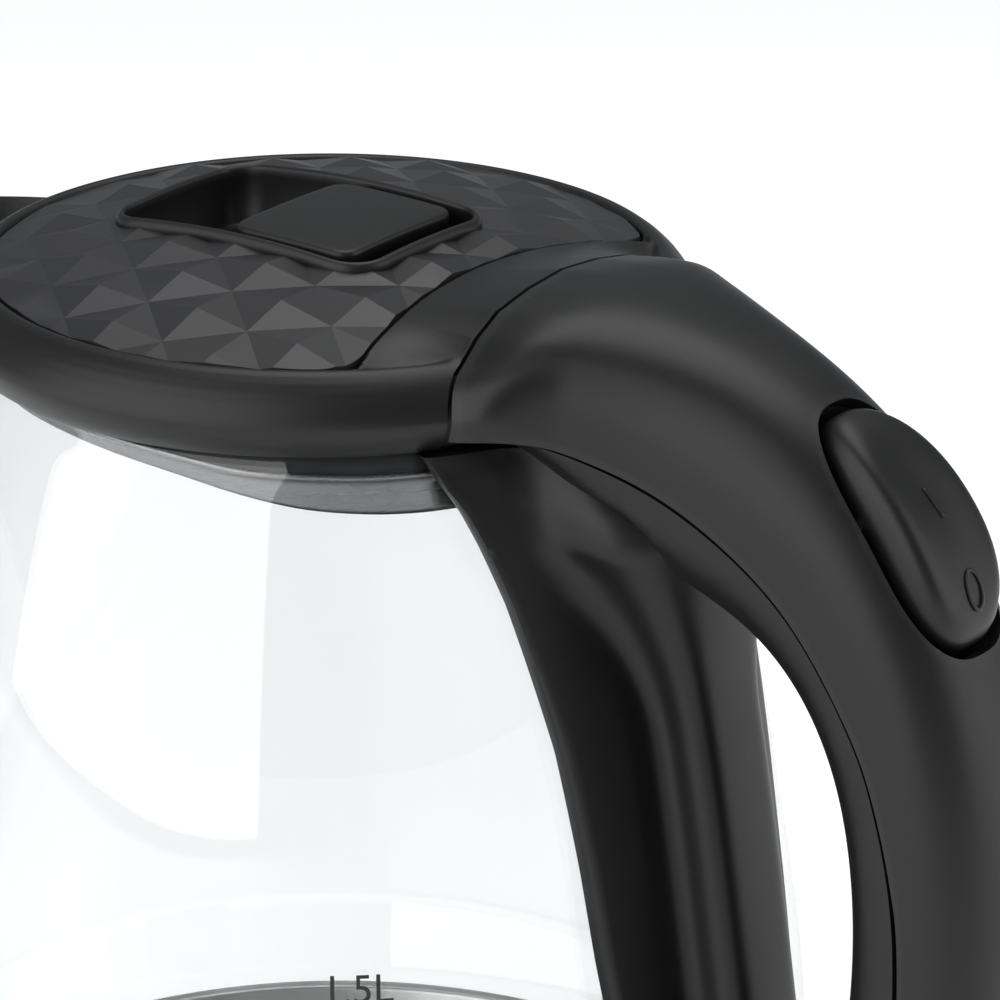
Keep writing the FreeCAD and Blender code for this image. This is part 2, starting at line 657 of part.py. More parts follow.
def hinge_arm(y, rear):
    """A knuckle on the hinge pin with its arm down to the inner cover."""
    barrel = 2.0
    x = HINGE
    z = RIM + size("hinge_rise")
    elbow = RIM - size("cover_drop") + 3.6
    knuckle = Part.makeCylinder(barrel, 6, at(x, y, z), at(0, 1, 0))
    path = [at(x - barrel + 0.3, y, z), at(x + barrel - 0.3, y, z), at(x + 0.6, y, elbow - 1.6),
            at(rear, y, elbow - 1.6), at(rear, y, elbow + 1.4), at(x - 2.6, y, elbow + 1.4)]
    return knuckle.fuse(Part.Face(polygon(path)).extrude(at(0, 6, 0)))


def make_lid_cover():
    inset = size("cover_inset")
    drop = RIM - size("cover_drop")
    cover = layer(lid_outline(inset), drop, RIM + 9).cut(layer(lid_outline(inset + 1.6), drop + 1.8, RIM + 10))
    cover = cover.common(dome(-size("panel_thick") - 0.05))
    rear = BITE - inset - 1.4
    extras = [hinge_arm(y, rear) for y in (-15.0, 9.0)]
    tools = [Part.makeCylinder(size("hinge_pin") + 0.05, 60, hinge_line(), at(0, 1, 0))]
    for x, y in lid_screw_spots():
        extras.append(Part.makeCylinder(4.2, lid_join() - 0.05 - drop, at(x, y, drop)))
        tools.append(Part.makeCylinder(size("screw_shank") + 0.3, 30, at(x, y, drop - 1)))
        tools.append(Part.makeCylinder(size("screw_head") + 0.3, 2.3, at(x, y, drop - 1)))
    tools.append(Part.makeBox(8, 8.8, 3.0, at(-MOUTH, -4.4, bolt_level() - 0.4)))
    cover = cover.fuse(extras)
    for tool in tools:
        cover = cover.cut(tool)
    keep(freeform("lid_inner_cover", solid_of(cover)), "lid_inner_cover")


def make_lid_fixings():
    seal = layer(lid_outline(GAP + 0.1), RIM - 6.5, RIM - 4.6)
    seal = seal.cut(layer(lid_outline(size("cover_inset") - 0.05), RIM - 8, RIM))
    keep(freeform("lid_seal", solid_of(seal)), "lid_seal")

    drop = RIM - size("cover_drop")
    screws = []
    for index, (x, y) in enumerate(lid_screw_spots()):
        head = Part.makeCylinder(size("screw_head"), 1.1, at(x, y, drop + 0.15))
        shank = Part.makeCylinder(size("screw_shank"), 7.0, at(x, y, drop + 1.2))
        screws.append(freeform("lid_screw_%d" % index, head.fuse(shank).removeSplitter()))
    keep(group("lid_screws", screws), "lid_screws")
    rod = Part.makeCylinder(size("hinge_pin"), 38.4, hinge_line() + at(0, 10.8, 0), at(0, 1, 0))
    keep(freeform("lid_hinge_pin", rod), "lid_hinge_pin")
    coil = Part.makeHelix(1.3, 13.0, size("hinge_pin") + 0.5)
    coil.rotate(at(0, 0, 0), at(1, 0, 0), -90)
    coil.translate(hinge_line() + at(0, 23.5, 0))
    keep(freeform("lid_spring", swept(coil.Edges[0], 0.38)), "lid_spring")


def lid_screw_spots():
    """Places of the four screws between the lid's inner cover and its panel."""
    reach = MOUTH - size("cover_inset") - 8.0
    return [(-reach * 0.62, reach * 0.78), (-reach * 0.62, -reach * 0.78),
            (reach * 0.5, reach * 0.8), (reach * 0.5, -reach * 0.8)]


STEM = 10.0      # length of the block that carries the latch plate on its bolt


def bolt_level():
    """Underside of the latch's bolt."""
    return RIM - size("well_depth") - size("well_wall") - 5.5


def make_latch():
    top = RIM + size("latch_top")
    thick = size("latch_thick")
    low = bolt_level()
    half = size("latch_half")
    front = -size("latch_front")
    plate = Part.makeBox(size("latch_rear") - front, 2 * half, thick, at(front, -half, top - thick))
    uprights = [edge for edge in plate.Edges if abs(edge.Vertexes[0].Z - edge.Vertexes[1].Z) > 1.0]
    plate = plate.makeFillet(4.0, uprights)
    upper = [edge for edge in plate.Edges if edge.BoundBox.ZMin > top - 0.01]
    plate = plate.makeFillet(0.8, upper)
    stem = Part.makeBox(STEM, 16, top - thick - low + 0.3, at(0, -8, low))
    reach = MOUTH - size("ledge_inset") - GAP
    bolt = Part.makeBox(reach, 8, 2.1, at(-reach, -4, low))
    keep(freeform("latch_slider", plate.fuse([stem, bolt]).removeSplitter()), "latch_slider")

    start = STEM + 0.3 + size("latch_travel")
    end = BITE - size("cover_inset") - 1.9
    coil = Part.makeHelix(2.1, end - start - 0.9, 1.5)
    coil.rotate(at(0, 0, 0), at(0, 1, 0), 90)
    coil.translate(at(start + 0.4, 0, low + 1.6))
    keep(freeform("latch_spring", swept(coil.Edges[0], 0.35)), "latch_spring")


# ---------------------------------------------------------------- handle
# handle past the seam: outer and inner (reach, height from the rim), half width, share that follows the mouth
GRIP = (
    ((74.0, 7.3), (67.0, -27.0), 22.5, 0.8), ((88.0, 3.0), (77.0, -35.0), 19.0, 0.6),
    ((101.0, -3.3), (87.5, -39.0), 17.3, 0.5), ((113.0, -13.0), (96.0, -44.5), 16.6, 0.4),
    ((122.0, -25.0), (102.5, -52.5), 16.2, 0.3), ((129.0, -40.0), (106.8, -62.0), 16.0, 0.2),
    ((134.5, -60.0), (109.3, -73.0), 16.0, 0.0), ((137.0, -85.0), (110.3, -87.0), 16.0, 0.0),
    ((136.0, -108.0), (109.3, -103.0), 16.0, 0.0), ((131.5, -128.0), (106.0, -117.0), 15.8, 0.0),
    ((122.0, -145.0), (100.5, -128.0), 15.5, 0.0), ((107.0, -156.0), (93.0, -135.0), 15.5, 0.0),
    ((90.0, -160.0), (86.0, -138.0), 16.0, 0.0), ((74.0, -160.5), (74.0, -138.5), 16.5, 0.0))
PARTING = (
    (40.0, -11.2, 1.0), (60.0, -11.3, 0.9), (70.0, -13.2, 0.8), (80.0, -17.3, 0.7), (89.0, -22.2, 0.6),
    (98.2, -29.0, 0.5), (105.7, -37.0, 0.4), (115.0, -51.2, 0.2), (120.0, -65.0, 0.1), (123.0, -81.0, 0.0),
    (123.6, -95.0, 0.0), (122.0, -112.0, 0.0), (116.5, -129.0, 0.0), (106.0, -142.0, 0.0), (92.0, -148.5, 0.0),
    (70.0, -150.0, 0.0))


def followed(point, share):
    """A point of the handle's side view, moved with the mouth, the belly and the jug's height."""
    reach, height = point
    reach += share * (MOUTH - 54.0) + (1 - share) * (size("jug_radius") - 81.0)
    fall = (RIM - GLASS_FOOT) / 166.0
    return reach, height * (fall if height < -60.0 else 1 + (fall - 1) * max(0.0, -height / 60.0))


def handle_stations():
    """Outer point, inner point and half width from the seam to the foot, heights from the rim."""
    half = size("seam_half")
    first = ((SEAM + 0.4, size("seam_crest")), (SEAM + 0.4, -size("collar_depth") + 0.4), half)
    second = ((SEAM + 12.0, 9.5), (SEAM + 10.5, -17.0), half - 3.1)
    return [first, second] + [(followed(outer, share), followed(inner, share), wide)
                              for outer, inner, wide, share in GRIP]


def handle_ring(outer, inner, half, inset):
    """Points around the handle at one station, set in from its surface, from the inner side round."""
    high = at(outer[0], 0, RIM + outer[1])
    low = at(inner[0], 0, RIM + inner[1])
    centre = (high + low) * 0.5
    up = (high - low) * 0.5
    depth = up.Length - inset
    up.normalize()
    power = 2.0 / 2.7
    count = 16
    points = []
    for index in range(count + 1):
        angle = 2 * math.pi * index / count - math.pi / 2
        across = round(math.cos(angle), 9)
        rise = round(math.sin(angle), 9)
        across = math.copysign(abs(across) ** power, across)
        rise = math.copysign(abs(rise) ** power, rise)
        points.append(centre + at(0, (half - inset) * across, 0) + up * (depth * rise))
    return points


def handle_loop(inset, overrun=0.0):
    """The handle as a solid, set in from its surface, with both ends run on along -X."""
    stations = handle_stations()
    for index in (0, -1):
        (x0, z0), (x1, z1), half = stations[index]
        stations[index] = ((x0 - overrun, z0), (x1 - overrun, z1), half)
    grid = [handle_ring(outer, inner, half, inset) for outer, inner, half in stations]
    surface = Part.BSplineSurface()
    surface.interpolate(grid)
    face = surface.toShape()
    caps = []
    for row in (grid[0], grid[-1]):
        rim = [edge for edge in face.Edges if abs(edge.BoundBox.Center.x - row[0].x) < 1.0
               and edge.BoundBox.XLength < 1.0 and (edge.valueAt(edge.FirstParameter) - row[0]).Length < 1e-4]
        caps.append(Part.Face(Part.Wire(rim[:1])))
    shell = Part.makeShell([face] + caps)
    shell.sewShape()
    solid = Part.makeSolid(shell)
    if solid.Volume < 0:
        solid.reverse()
    return solid


def parting_side():
    """Prism on the inner side of the handle's parting line, as wide as the handle."""
    line = [followed((x, z), share) for x, z, share in PARTING]
    spots = [at(x, -60, RIM + z) for x, z in line]
    edges = [smooth(spots), Part.makeLine(spots[-1], at(20, -60, spots[-1].z)),
             Part.makeLine(at(20, -60, spots[-1].z), at(20, -60, spots[0].z)),
             Part.makeLine(at(20, -60, spots[0].z), spots[0])]
    return Part.Face(Part.Wire(Part.__sortEdges__(edges))).extrude(at(0, 120, 0))


def strip_and_rib():
    """The spine that hugs the glass, with its rounded rib."""
    thick = size("strip_thick")
    stand = size("rib_stand")
    top = RIM - size("collar_depth") - 1.0
    low = GLASS_FOOT + 5.5
    wide = size("strip_half_top")
    narrow = size("strip_half_foot")
    skin = jug_envelope(thick).cut(jug_envelope(0.15))
    plan = polygon([at(30, -wide, top), at(30, wide, top), at(30, narrow, low), at(30, -narrow, low)])
    strip = skin.common(Part.Face(plan).extrude(at(70, 0, 0)))
    half = size("rib_half")
    rib = jug_envelope(stand).cut(jug_envelope(0.15))
    rib = rib.common(Part.makeBox(60, 2 * half, top - 22.0 - low, at(50, -half, low)))
    uprights = [edge for edge in rib.Edges
                if edge.BoundBox.ZLength > 60 and abs(abs(edge.CenterOfMass.y) - half) < 0.01]
    crown = sorted(uprights, key=lambda item: -item.BoundBox.XMax)[:2]
    return strip, rib.makeFillet(5.5, crown)


def rocker_frame():
    """Placement of the rocker: +X along its length downwards, +Z out of the handle."""
    crest = [at(outer[0], 0, RIM + outer[1]) for outer, inner, half in handle_stations()]
    run = crest[7] - crest[4]
    crown = crest[5] + (crest[6] - crest[5]) * 0.17
    angle = math.degrees(math.atan2(-run.z, run.x))
    return FreeCAD.Placement(crown, FreeCAD.Rotation(at(0, 1, 0), angle))


def pill(length, width, low, high):
    """A round-ended block centred on the origin."""
    reach = (length - width) / 2
    body = Part.makeBox(2 * reach, width, high - low, at(-reach, -width / 2, low))
    for side in (-reach, reach):
        body = body.fuse(Part.makeCylinder(width / 2, high - low, at(side, 0, low)))
    return body.removeSplitter()


def placed(shape, placement):
    """The shape moved to a placement."""
    return shape.transformed(placement.toMatrix())


def rocker_rod(radius, extra):
    """A rod on the rocker's axis that ends inside the handle's walls, longer by extra at each end."""
    axle = rocker_frame().multVec(at(0, 0, -size("rocker_pivot")))
    reach = handle_stations()[5][2] - 3.6 + extra
    return Part.makeCylinder(radius, 2 * reach, at(axle.x, -reach, axle.z), at(0, 1, 0))


def make_handle():
    loop = handle_loop(0.0)
    hollow = handle_loop(size("handle_wall"), 3.0)
    under = parting_side()
    frame = rocker_frame()
    length = size("rocker_length") + 2 * size("rocker_gap")
    width = size("rocker_width")
    depth = size("rocker_pivot")
    well = placed(pill(length, width + 1.0, -12.0, 20.0), frame)
    skin = loop.cut(hollow).cut(collar_envelope(0.3)).cut(jug_envelope(0.15))
    outer = skin.cut(under).cut(well)

    ears = []
    for start in (-width / 2 - 7.1, width / 2 + 0.6):
        ear = placed(Part.makeBox(9, 6.5, 9, at(-4.5, start, -depth - 4.5)), frame)
        ears.append(ear.common(loop))
    outer = outer.fuse(ears).cut(rocker_rod(1.05, 0.1))
    keep(freeform("handle_outer_shell", solid_of(outer)), "handle_outer_shell")

    strip, rib = strip_and_rib()
    inner = skin.common(under).fuse(strip).fuse(rib.cut(hollow)).cut(outer)
    keep(freeform("handle_inner_shell", solid_of(inner)), "handle_inner_shell")


def make_rocker():
    frame = rocker_frame()
    depth = size("rocker_pivot")
    arc = size("rocker_arc")
    body = pill(size("rocker_length"), size("rocker_width"), -9.0, 12.0)
    crown = Part.makeCylinder(arc, 60, at(0, -30, size("rocker_proud") - arc), at(0, 1, 0))
    body = body.common(crown)
    rims = [edge for edge in body.Edges
            if edge.BoundBox.ZMin > -8.0 and edge.BoundBox.ZMax > -1.5 and edge.BoundBox.ZLength < 6.5]
    body = body.makeFillet(2.0, rims)
    bore = Part.makeCylinder(1.05, 60, at(0, -30, -depth), at(0, 1, 0))
    keep(freeform("rocker_switch", solid_of(body.cut(bore)), frame), "rocker_switch")
    keep(freeform("rocker_pin", rocker_rod(1.0, 0.0)), "rocker_pin")


def make_switch():
    frame = rocker_frame()
    module = Part.makeBox(24, 14, 6, at(-12, -7, -20.5))
    keep(freeform("switch_module", module, frame), "switch_module")
    steam = Part.makeCylinder(6.5, 2.0, at(0, 0, -22.6))
    keep(freeform("steam_thermostat", steam, frame), "steam_thermostat")
    wires = []
    for index, side in enumerate((-2.5, 2.5)):
        path = smooth([at((x0 + x1) / 2, side, RIM + (z0 + z1) / 2)
                       for (x0, z0), (x1, z1), half in handle_stations()[7:15]])
        wires.append(freeform("switch_wire_%d" % index, swept(path, 1.2)))
    keep(group("switch_wires", wires), "switch_wires")


STEPS = (make_base, make_foot, make_jug, make_collar, make_neck, make_lid_panel, make_latch_well, make_lid_cover,
         make_lid_fixings, make_latch,
         make_handle, make_rocker, make_switch)
for step in STEPS:
    step()
DOC.recompute()

for item in DOC.Objects:
    if "Invalid" in item.State or "Error" in item.State:
        raise RuntimeError("%s failed: %s" % (item.Name, item.State))
for node in NODES:
    if node.Shape.isNull() or not node.Shape.isValid() or not node.Shape.Solids:
        raise RuntimeError("%s has no valid solid" % node.Label)

os.makedirs("parts", exist_ok=True)
for node in NODES:
    node.Shape.exportStep("parts/%s.step" % node.Label)
    box = node.Shape.BoundBox
    print("%-20s %d solid  %9.1f mm3  x %6.1f %6.1f  y %6.1f %6.1f  z %6.1f %6.1f" % (
        node.Label, len(node.Shape.Solids), node.Shape.Volume, box.XMin, box.XMax, box.YMin, box.YMax,
        box.ZMin, box.ZMax))
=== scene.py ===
import json
import math

import bmesh
import bpy
import numpy as np
from mathutils import Matrix, Vector


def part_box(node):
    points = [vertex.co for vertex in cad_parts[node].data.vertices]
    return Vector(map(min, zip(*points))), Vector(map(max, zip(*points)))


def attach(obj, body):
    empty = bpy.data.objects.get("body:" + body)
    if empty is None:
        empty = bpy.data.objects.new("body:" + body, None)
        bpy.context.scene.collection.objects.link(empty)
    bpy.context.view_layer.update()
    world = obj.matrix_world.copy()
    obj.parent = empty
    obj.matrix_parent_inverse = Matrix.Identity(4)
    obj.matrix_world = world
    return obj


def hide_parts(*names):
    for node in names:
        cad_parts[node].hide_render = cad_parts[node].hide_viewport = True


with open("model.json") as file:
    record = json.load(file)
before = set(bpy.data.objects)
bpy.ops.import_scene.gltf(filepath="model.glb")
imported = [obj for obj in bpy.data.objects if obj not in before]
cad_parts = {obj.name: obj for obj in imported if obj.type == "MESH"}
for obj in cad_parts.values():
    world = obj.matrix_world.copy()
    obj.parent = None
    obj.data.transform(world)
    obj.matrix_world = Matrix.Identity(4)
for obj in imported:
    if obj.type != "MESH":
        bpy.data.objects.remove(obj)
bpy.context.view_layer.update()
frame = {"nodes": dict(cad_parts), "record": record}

# Electric kettle: glass jug, black collar and lid with a diamond relief, loop handle, power base.
# Lengths below are millimetres in the CAD frame; mesh() turns them into metres.
MM = 0.001
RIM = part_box("glass_jug")[1][2] / MM + 10.0      # height of the collar's rim
MOUTH = 54.0                                     # radius of the lid's edge
DOME_RISE = 7.38                                 # height of the lid's crown above the rim


# ---------------- helpers
def mesh(name, verts, faces, material, body, replaces=(), slot=None, smooth=True):
    """A mesh piece from millimetre points, riding on a body."""
    data = bpy.data.meshes.new(name)
    places = [tuple(float(c) * MM for c in v) for v in verts]
    data.from_pydata(places, [], [tuple(map(int, f)) for f in faces])
    data.validate()
    data.update()
    obj = bpy.data.objects.new(name, data)
    bpy.context.scene.collection.objects.link(obj)
    data.materials.append(material)
    data.polygons.foreach_set("use_smooth", [smooth] * len(data.polygons))
    if body:
        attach(obj, body)
    if replaces:
        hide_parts(*replaces)
    return obj


def grid_faces(rows, cols, loop_cols=False, loop_rows=False):
    """Quads of a grid of points stored row by row."""
    faces = []
    for i in range(rows if loop_rows else rows - 1):
        for j in range(cols if loop_cols else cols - 1):
            a = i * cols + j
            b = i * cols + (j + 1) % cols
            c = ((i + 1) % rows) * cols + (j + 1) % cols
            d = ((i + 1) % rows) * cols + j
            faces.append((a, b, c, d))
    return faces


def fan(first, count, middle):
    """Triangles from a ring of points to the point in its middle."""
    return [(first + k, first + (k + 1) % count, middle) for k in range(count)]


def ends(rows, cols):
    """The faces that close the first and the last ring of a looped grid."""
    return [tuple(range(cols)), tuple(reversed(range((rows - 1) * cols, rows * cols)))]


def outward(obj, way=None, weld=False):
    """Makes the normals agree: out of a closed mesh, or mostly along way(spot) on an open one."""
    bm = bmesh.new()
    bm.from_mesh(obj.data)
    if weld:
        bmesh.ops.remove_doubles(bm, verts=bm.verts, dist=1e-6)
    bmesh.ops.recalc_face_normals(bm, faces=bm.faces)
    if way:
        along = [face.normal.dot(way(face.calc_center_median())) * face.calc_area() for face in bm.faces]
        if sum(along) < 0:
            bmesh.ops.reverse_faces(bm, faces=bm.faces)
    bm.to_mesh(obj.data)
    bm.free()
    return obj


def facing_up(obj):
    """Turns the faces of an open shell so that most of them point up."""
    return outward(obj, way=lambda spot: Vector((0, 0, 1)))


def all_smooth(obj):
    obj.data.polygons.foreach_set("use_smooth", [True] * len(obj.data.polygons))


def thicken(obj, thickness):
    """Gives an open shell a wall on its inner side."""
    mod = obj.modifiers.new("wall", "SOLIDIFY")
    mod.thickness = thickness * MM
    mod.offset = -1.0
    mod.use_even_offset = True


def soften(obj, width, segments=3, angle=35.0):
    """Rounds the edges sharper than an angle."""
    mod = obj.modifiers.new("soft_edges", "BEVEL")
    mod.width = width * MM
    mod.segments = segments
    mod.limit_method = "ANGLE"
    mod.angle_limit = math.radians(angle)
    weighted = obj.modifiers.new("even_normals", "WEIGHTED_NORMAL")
    weighted.keep_sharp = True


def applied(obj):
    """Bakes the modifiers of a piece into its mesh."""
    depsgraph = bpy.context.evaluated_depsgraph_get()
    data = bpy.data.meshes.new_from_object(obj.evaluated_get(depsgraph))
    obj.modifiers.clear()
    obj.data = data


def carve(obj, cutter, operation="DIFFERENCE", solver="EXACT"):
    """Applies one boolean with a throwaway cutter."""
    mod = obj.modifiers.new("carve", "BOOLEAN")
    mod.operation = operation
    mod.solver = solver
    mod.object = cutter
    applied(obj)
    bpy.data.objects.remove(cutter, do_unlink=True)


def block_mesh(name, xs, ys, zs):
    """A box between pairs of limits: a cutter, or a small block to be softened."""
    verts = [(x, y, z) for z in zs for y in ys for x in xs]
    faces = [(0, 2, 3, 1), (4, 5, 7, 6), (0, 1, 5, 4), (2, 6, 7, 3), (0, 4, 6, 2), (1, 3, 7, 5)]
    return mesh(name, verts, faces, INNER, None)


def prism(name, outline, low, high):
    """A closed upright prism, used as a cutter."""
    count = len(outline)
    verts = [(x, y, low) for x, y in outline] + [(x, y, high) for x, y in outline]
    faces = [(i, (i + 1) % count, (i + 1) % count + count, i + count) for i in range(count)]
    faces += [tuple(reversed(range(count))), tuple(range(count, 2 * count))]
    return outward(mesh(name, verts, faces, INNER, None))


def rounded(profile, steps=6):
    """(x, y, radius) corners of an open profile as points with the corners rounded."""
    points = []
    count = len(profile)
    for i, (x, y, radius) in enumerate(profile):
        here = np.array([x, y], float)
        if radius <= 0 or i in (0, count - 1):
            points.append(here)
            continue
        before = np.array(profile[i - 1][:2], float) - here
        after = np.array(profile[i + 1][:2], float) - here
        reach = min(radius, 0.48 * np.linalg.norm(before), 0.48 * np.linalg.norm(after))
        start = here + before / np.linalg.norm(before) * reach
        end = here + after / np.linalg.norm(after) * reach
        for t in np.linspace(0, 1, steps + 1):
            points.append(start * (1 - t) ** 2 + here * 2 * t * (1 - t) + end * t ** 2)
    return np.array(points)


def lathe(name, profile, material, body, segments=160, closed=True, **named):
    """A ring turned about +Z from (radius, height) points."""
    profile = np.asarray(profile, float)
    angles = np.linspace(0, 2 * np.pi, segments, endpoint=False)
    verts = [(r * math.cos(a), r * math.sin(a), z) for r, z in profile for a in angles]
    faces = grid_faces(len(profile), segments, loop_cols=True, loop_rows=closed)
    obj = mesh(name, verts, faces, material, body, **named)
    return outward(obj) if closed else obj


def smoothed(values, passes):
    """Repeated averaging along the first axis, with the ends held."""
    values = np.array(values, float)
    for _ in range(passes):
        middle = values.copy()
        middle[1:-1] = 0.25 * values[:-2] + 0.5 * values[1:-1] + 0.25 * values[2:]
        values = middle
    return values


def resample(points, count):
    """Points spread evenly along a polyline."""
    points = np.asarray(points, float)
    steps = np.r_[0, np.cumsum(np.linalg.norm(np.diff(points, axis=0), axis=1))]
    where = np.linspace(0, steps[-1], count)
    return np.column_stack([np.interp(where, steps, points[:, k]) for k in range(points.shape[1])])


def catmull(points, count):
    """A smooth curve through points, sampled evenly by length."""
    points = np.asarray(points, float)
    padded = np.vstack([2 * points[0] - points[1], points, 2 * points[-1] - points[-2]])
    out = []
    for i in range(1, len(padded) - 2):
        p0, p1, p2, p3 = padded[i - 1:i + 3]
        for t in np.linspace(0, 1, 24, endpoint=False):
            out.append(0.5 * (2 * p1 + (p2 - p0) * t + (2 * p0 - 5 * p1 + 4 * p2 - p3) * t ** 2
                              + (3 * p1 - p0 - 3 * p2 + p3) * t ** 3))
    out.append(padded[-2])
    return resample(out, count)


# ---------------- materials
def material(name):
    """A new node material with its shader and object coordinates."""
    mat = bpy.data.materials.new(name)
    mat.use_nodes = True
    nodes = mat.node_tree.nodes
    shader = nodes["Principled BSDF"]
    coords = nodes.new("ShaderNodeTexCoord")
    return mat, mat.node_tree, shader, coords


def noise(tree, coords, scale, detail=4.0, rough=0.5, stretch=None):
    """A noise of a scale per metre, drawn out along an axis where stretch is given."""
    node = tree.nodes.new("ShaderNodeTexNoise")
    node.inputs["Scale"].default_value = scale
    node.inputs["Detail"].default_value = detail
    node.inputs["Roughness"].default_value = rough
    source = coords.outputs["Object"]
    if stretch:
        mapping = tree.nodes.new("ShaderNodeMapping")
        mapping.inputs["Scale"].default_value = stretch
        tree.links.new(source, mapping.inputs["Vector"])
        source = mapping.outputs["Vector"]
    tree.links.new(source, node.inputs["Vector"])
    return node.outputs["Fac"]


def spread(tree, value, low, high):
    """Maps a 0 to 1 noise onto a range."""
    node = tree.nodes.new("ShaderNodeMapRange")
    node.inputs["From Min"].default_value = 0.3
    node.inputs["From Max"].default_value = 0.7
    node.inputs["To Min"].default_value = low
    node.inputs["To Max"].default_value = high
    tree.links.new(value, node.inputs["Value"])
    return node.outputs["Result"]


def tint(tree, value, dark, light):
    """Turns a 0 to 1 noise into a colour between two."""
    node = tree.nodes.new("ShaderNodeValToRGB")
    node.color_ramp.elements[0].position = 0.3
    node.color_ramp.elements[0].color = (*dark, 1.0)
    node.color_ramp.elements[1].position = 0.7
    node.color_ramp.elements[1].color = (*light, 1.0)
    tree.links.new(value, node.inputs["Fac"])
    return node.outputs["Color"]


def paint_edge_highlight(tree, colour, highlight_colour, amount):
    """Lightens a colour along convex edges: a painted highlight where the edges would catch the light."""
    geometry = tree.nodes.new("ShaderNodeNewGeometry")
    edge = tree.nodes.new("ShaderNodeMapRange")
    edge.inputs["From Min"].default_value = 0.53
    edge.inputs["From Max"].default_value = 0.62
    edge.inputs["To Min"].default_value = 0.0
    edge.inputs["To Max"].default_value = amount
    mix = tree.nodes.new("ShaderNodeMix")
    mix.data_type = "RGBA"
    mix.inputs["B"].default_value = (*highlight_colour, 1.0)
    tree.links.new(geometry.outputs["Pointiness"], edge.inputs["Value"])
    tree.links.new(edge.outputs["Result"], mix.inputs["Factor"])
    tree.links.new(colour, mix.inputs["A"])
    return mix.outputs["Result"]


def bump(tree, shader, height, distance, strength=1.0):
    """Relief in the shader, its depth in millimetres."""
    node = tree.nodes.new("ShaderNodeBump")
    node.inputs["Strength"].default_value = strength
    node.inputs["Distance"].default_value = distance * MM
    tree.links.new(height, node.inputs["Height"])
    tree.links.new(node.outputs["Normal"], shader.inputs["Normal"])


def plastic(name, dark, light, rough, grain=900.0, depth=0.02, specular=0.5):
    """Moulded plastic: fine grain, slightly uneven sheen, and a painted highlight that makes its convex edges
    paler.
    """
    mat, tree, shader, coords = material(name)
    broad = noise(tree, coords, 22.0, 3.0)
    fine = noise(tree, coords, grain, 6.0, 0.6)
    colour = tint(tree, broad, dark, light)
    # colour of the painted highlight along convex edges
    highlight_colour = tuple(min(1.0, 2.2 * c + 0.01) for c in light)
    tree.links.new(paint_edge_highlight(tree, colour, highlight_colour, 0.35), shader.inputs["Base Color"])
    tree.links.new(spread(tree, broad, rough - 0.03, rough + 0.04), shader.inputs["Roughness"])
    shader.inputs["Specular IOR Level"].default_value = specular
    bump(tree, shader, fine, depth)
    return mat


def metal(name, dark, light, rough, stretch):
    """Brushed metal with streaks along one direction."""
    mat, tree, shader, coords = material(name)
    streaks = noise(tree, coords, 60.0, 6.0, 0.65, stretch)
    broad = noise(tree, coords, 25.0, 3.0)
    tree.links.new(tint(tree, broad, dark, light), shader.inputs["Base Color"])
    tree.links.new(spread(tree, streaks, rough - 0.06, rough + 0.08), shader.inputs["Roughness"])
    shader.inputs["Metallic"].default_value = 1.0
    bump(tree, shader, streaks, 0.01)
    return mat


def clear_glass(name):
    """Clear glass with a faint haze and a slow waviness."""
    mat, tree, shader, coords = material(name)
    haze = noise(tree, coords, 35.0, 4.0)
    tree.links.new(tint(tree, haze, (0.895, 0.9, 0.903), (0.91, 0.915, 0.918)), shader.inputs["Base Color"])
    tree.links.new(spread(tree, haze, 0.0, 0.012), shader.inputs["Roughness"])
    shader.inputs["Transmission Weight"].default_value = 1.0
    shader.inputs["IOR"].default_value = 1.46
    bump(tree, shader, noise(tree, coords, 14.0, 2.0), 0.02, 0.3)
    return mat


BLACK = plastic("satin_black", (0.0042, 0.0042, 0.0046), (0.0062, 0.0062, 0.0066), 0.4, specular=0.36)
# the lid's top: the same satin black plastic, painted lighter as painted light falling on the lid from above
LID_BLACK_PAINTED_LIGHT = plastic("satin_black_lid_painted_lighter", (0.0105, 0.0105, 0.0115), (0.0155, 0.0155, 0.0168), 0.42)
INNER = plastic("inner_black", (0.006, 0.006, 0.0065), (0.009, 0.009, 0.0095), 0.55, depth=0.03,
                specular=0.35)
# near black, darker and duller than the plastic: painted shade for the hollow inside the handle
SHADE_BLACK = plastic("painted_shade_black", (0.002, 0.002, 0.002), (0.003, 0.003, 0.003), 0.8, specular=0.1)
RUBBER = plastic("seal_rubber", (0.008, 0.008, 0.008), (0.013, 0.013, 0.013), 0.7, grain=500.0,
                 specular=0.3)
GLASS = clear_glass("jug_glass")
STEEL = metal("brushed_steel", (0.2, 0.2, 0.203), (0.29, 0.29, 0.292), 0.26, (1.0, 1.0, 14.0))
PLATE = metal("plate_steel", (0.45, 0.45, 0.45), (0.6, 0.6, 0.59), 0.34, (10.0, 0.6, 1.0))
ZINC = metal("zinc", (0.42, 0.43, 0.44), (0.58, 0.59, 0.6), 0.38, (3.0, 3.0, 3.0))
BRASS = metal("contact_brass", (0.6, 0.42, 0.18), (0.75, 0.56, 0.27), 0.3, (3.0, 3.0, 8.0))
INK = plastic("print_ink", (0.006, 0.006, 0.007), (0.011, 0.011, 0.012), 0.5, depth=0.005)
WIRE = plastic("wire_sleeve", (0.3, 0.03, 0.025), (0.42, 0.05, 0.04), 0.5)

FINISH = {
    "black_plastic": BLACK, "inner_plastic": INNER, "glass": GLASS, "steel": STEEL, "fastener_steel": ZINC,
    "contact_brass": BRASS, "seal_rubber": RUBBER, "wire_sleeve": WIRE,
}
for part in frame["record"]["subparts"]:
    node = frame["nodes"][part["node"]]
    node.data.materials.clear()
    node.data.materials.append(FINISH[part["material_slot"]])
frame["nodes"]["heating_plate"].data.materials[0] = PLATE


# ---------------- shared curves
def dome(x, y):
    """Height of the lid's crown."""
    return RIM + DOME_RISE * (1.0 - (x * x + y * y) / MOUTH ** 2)


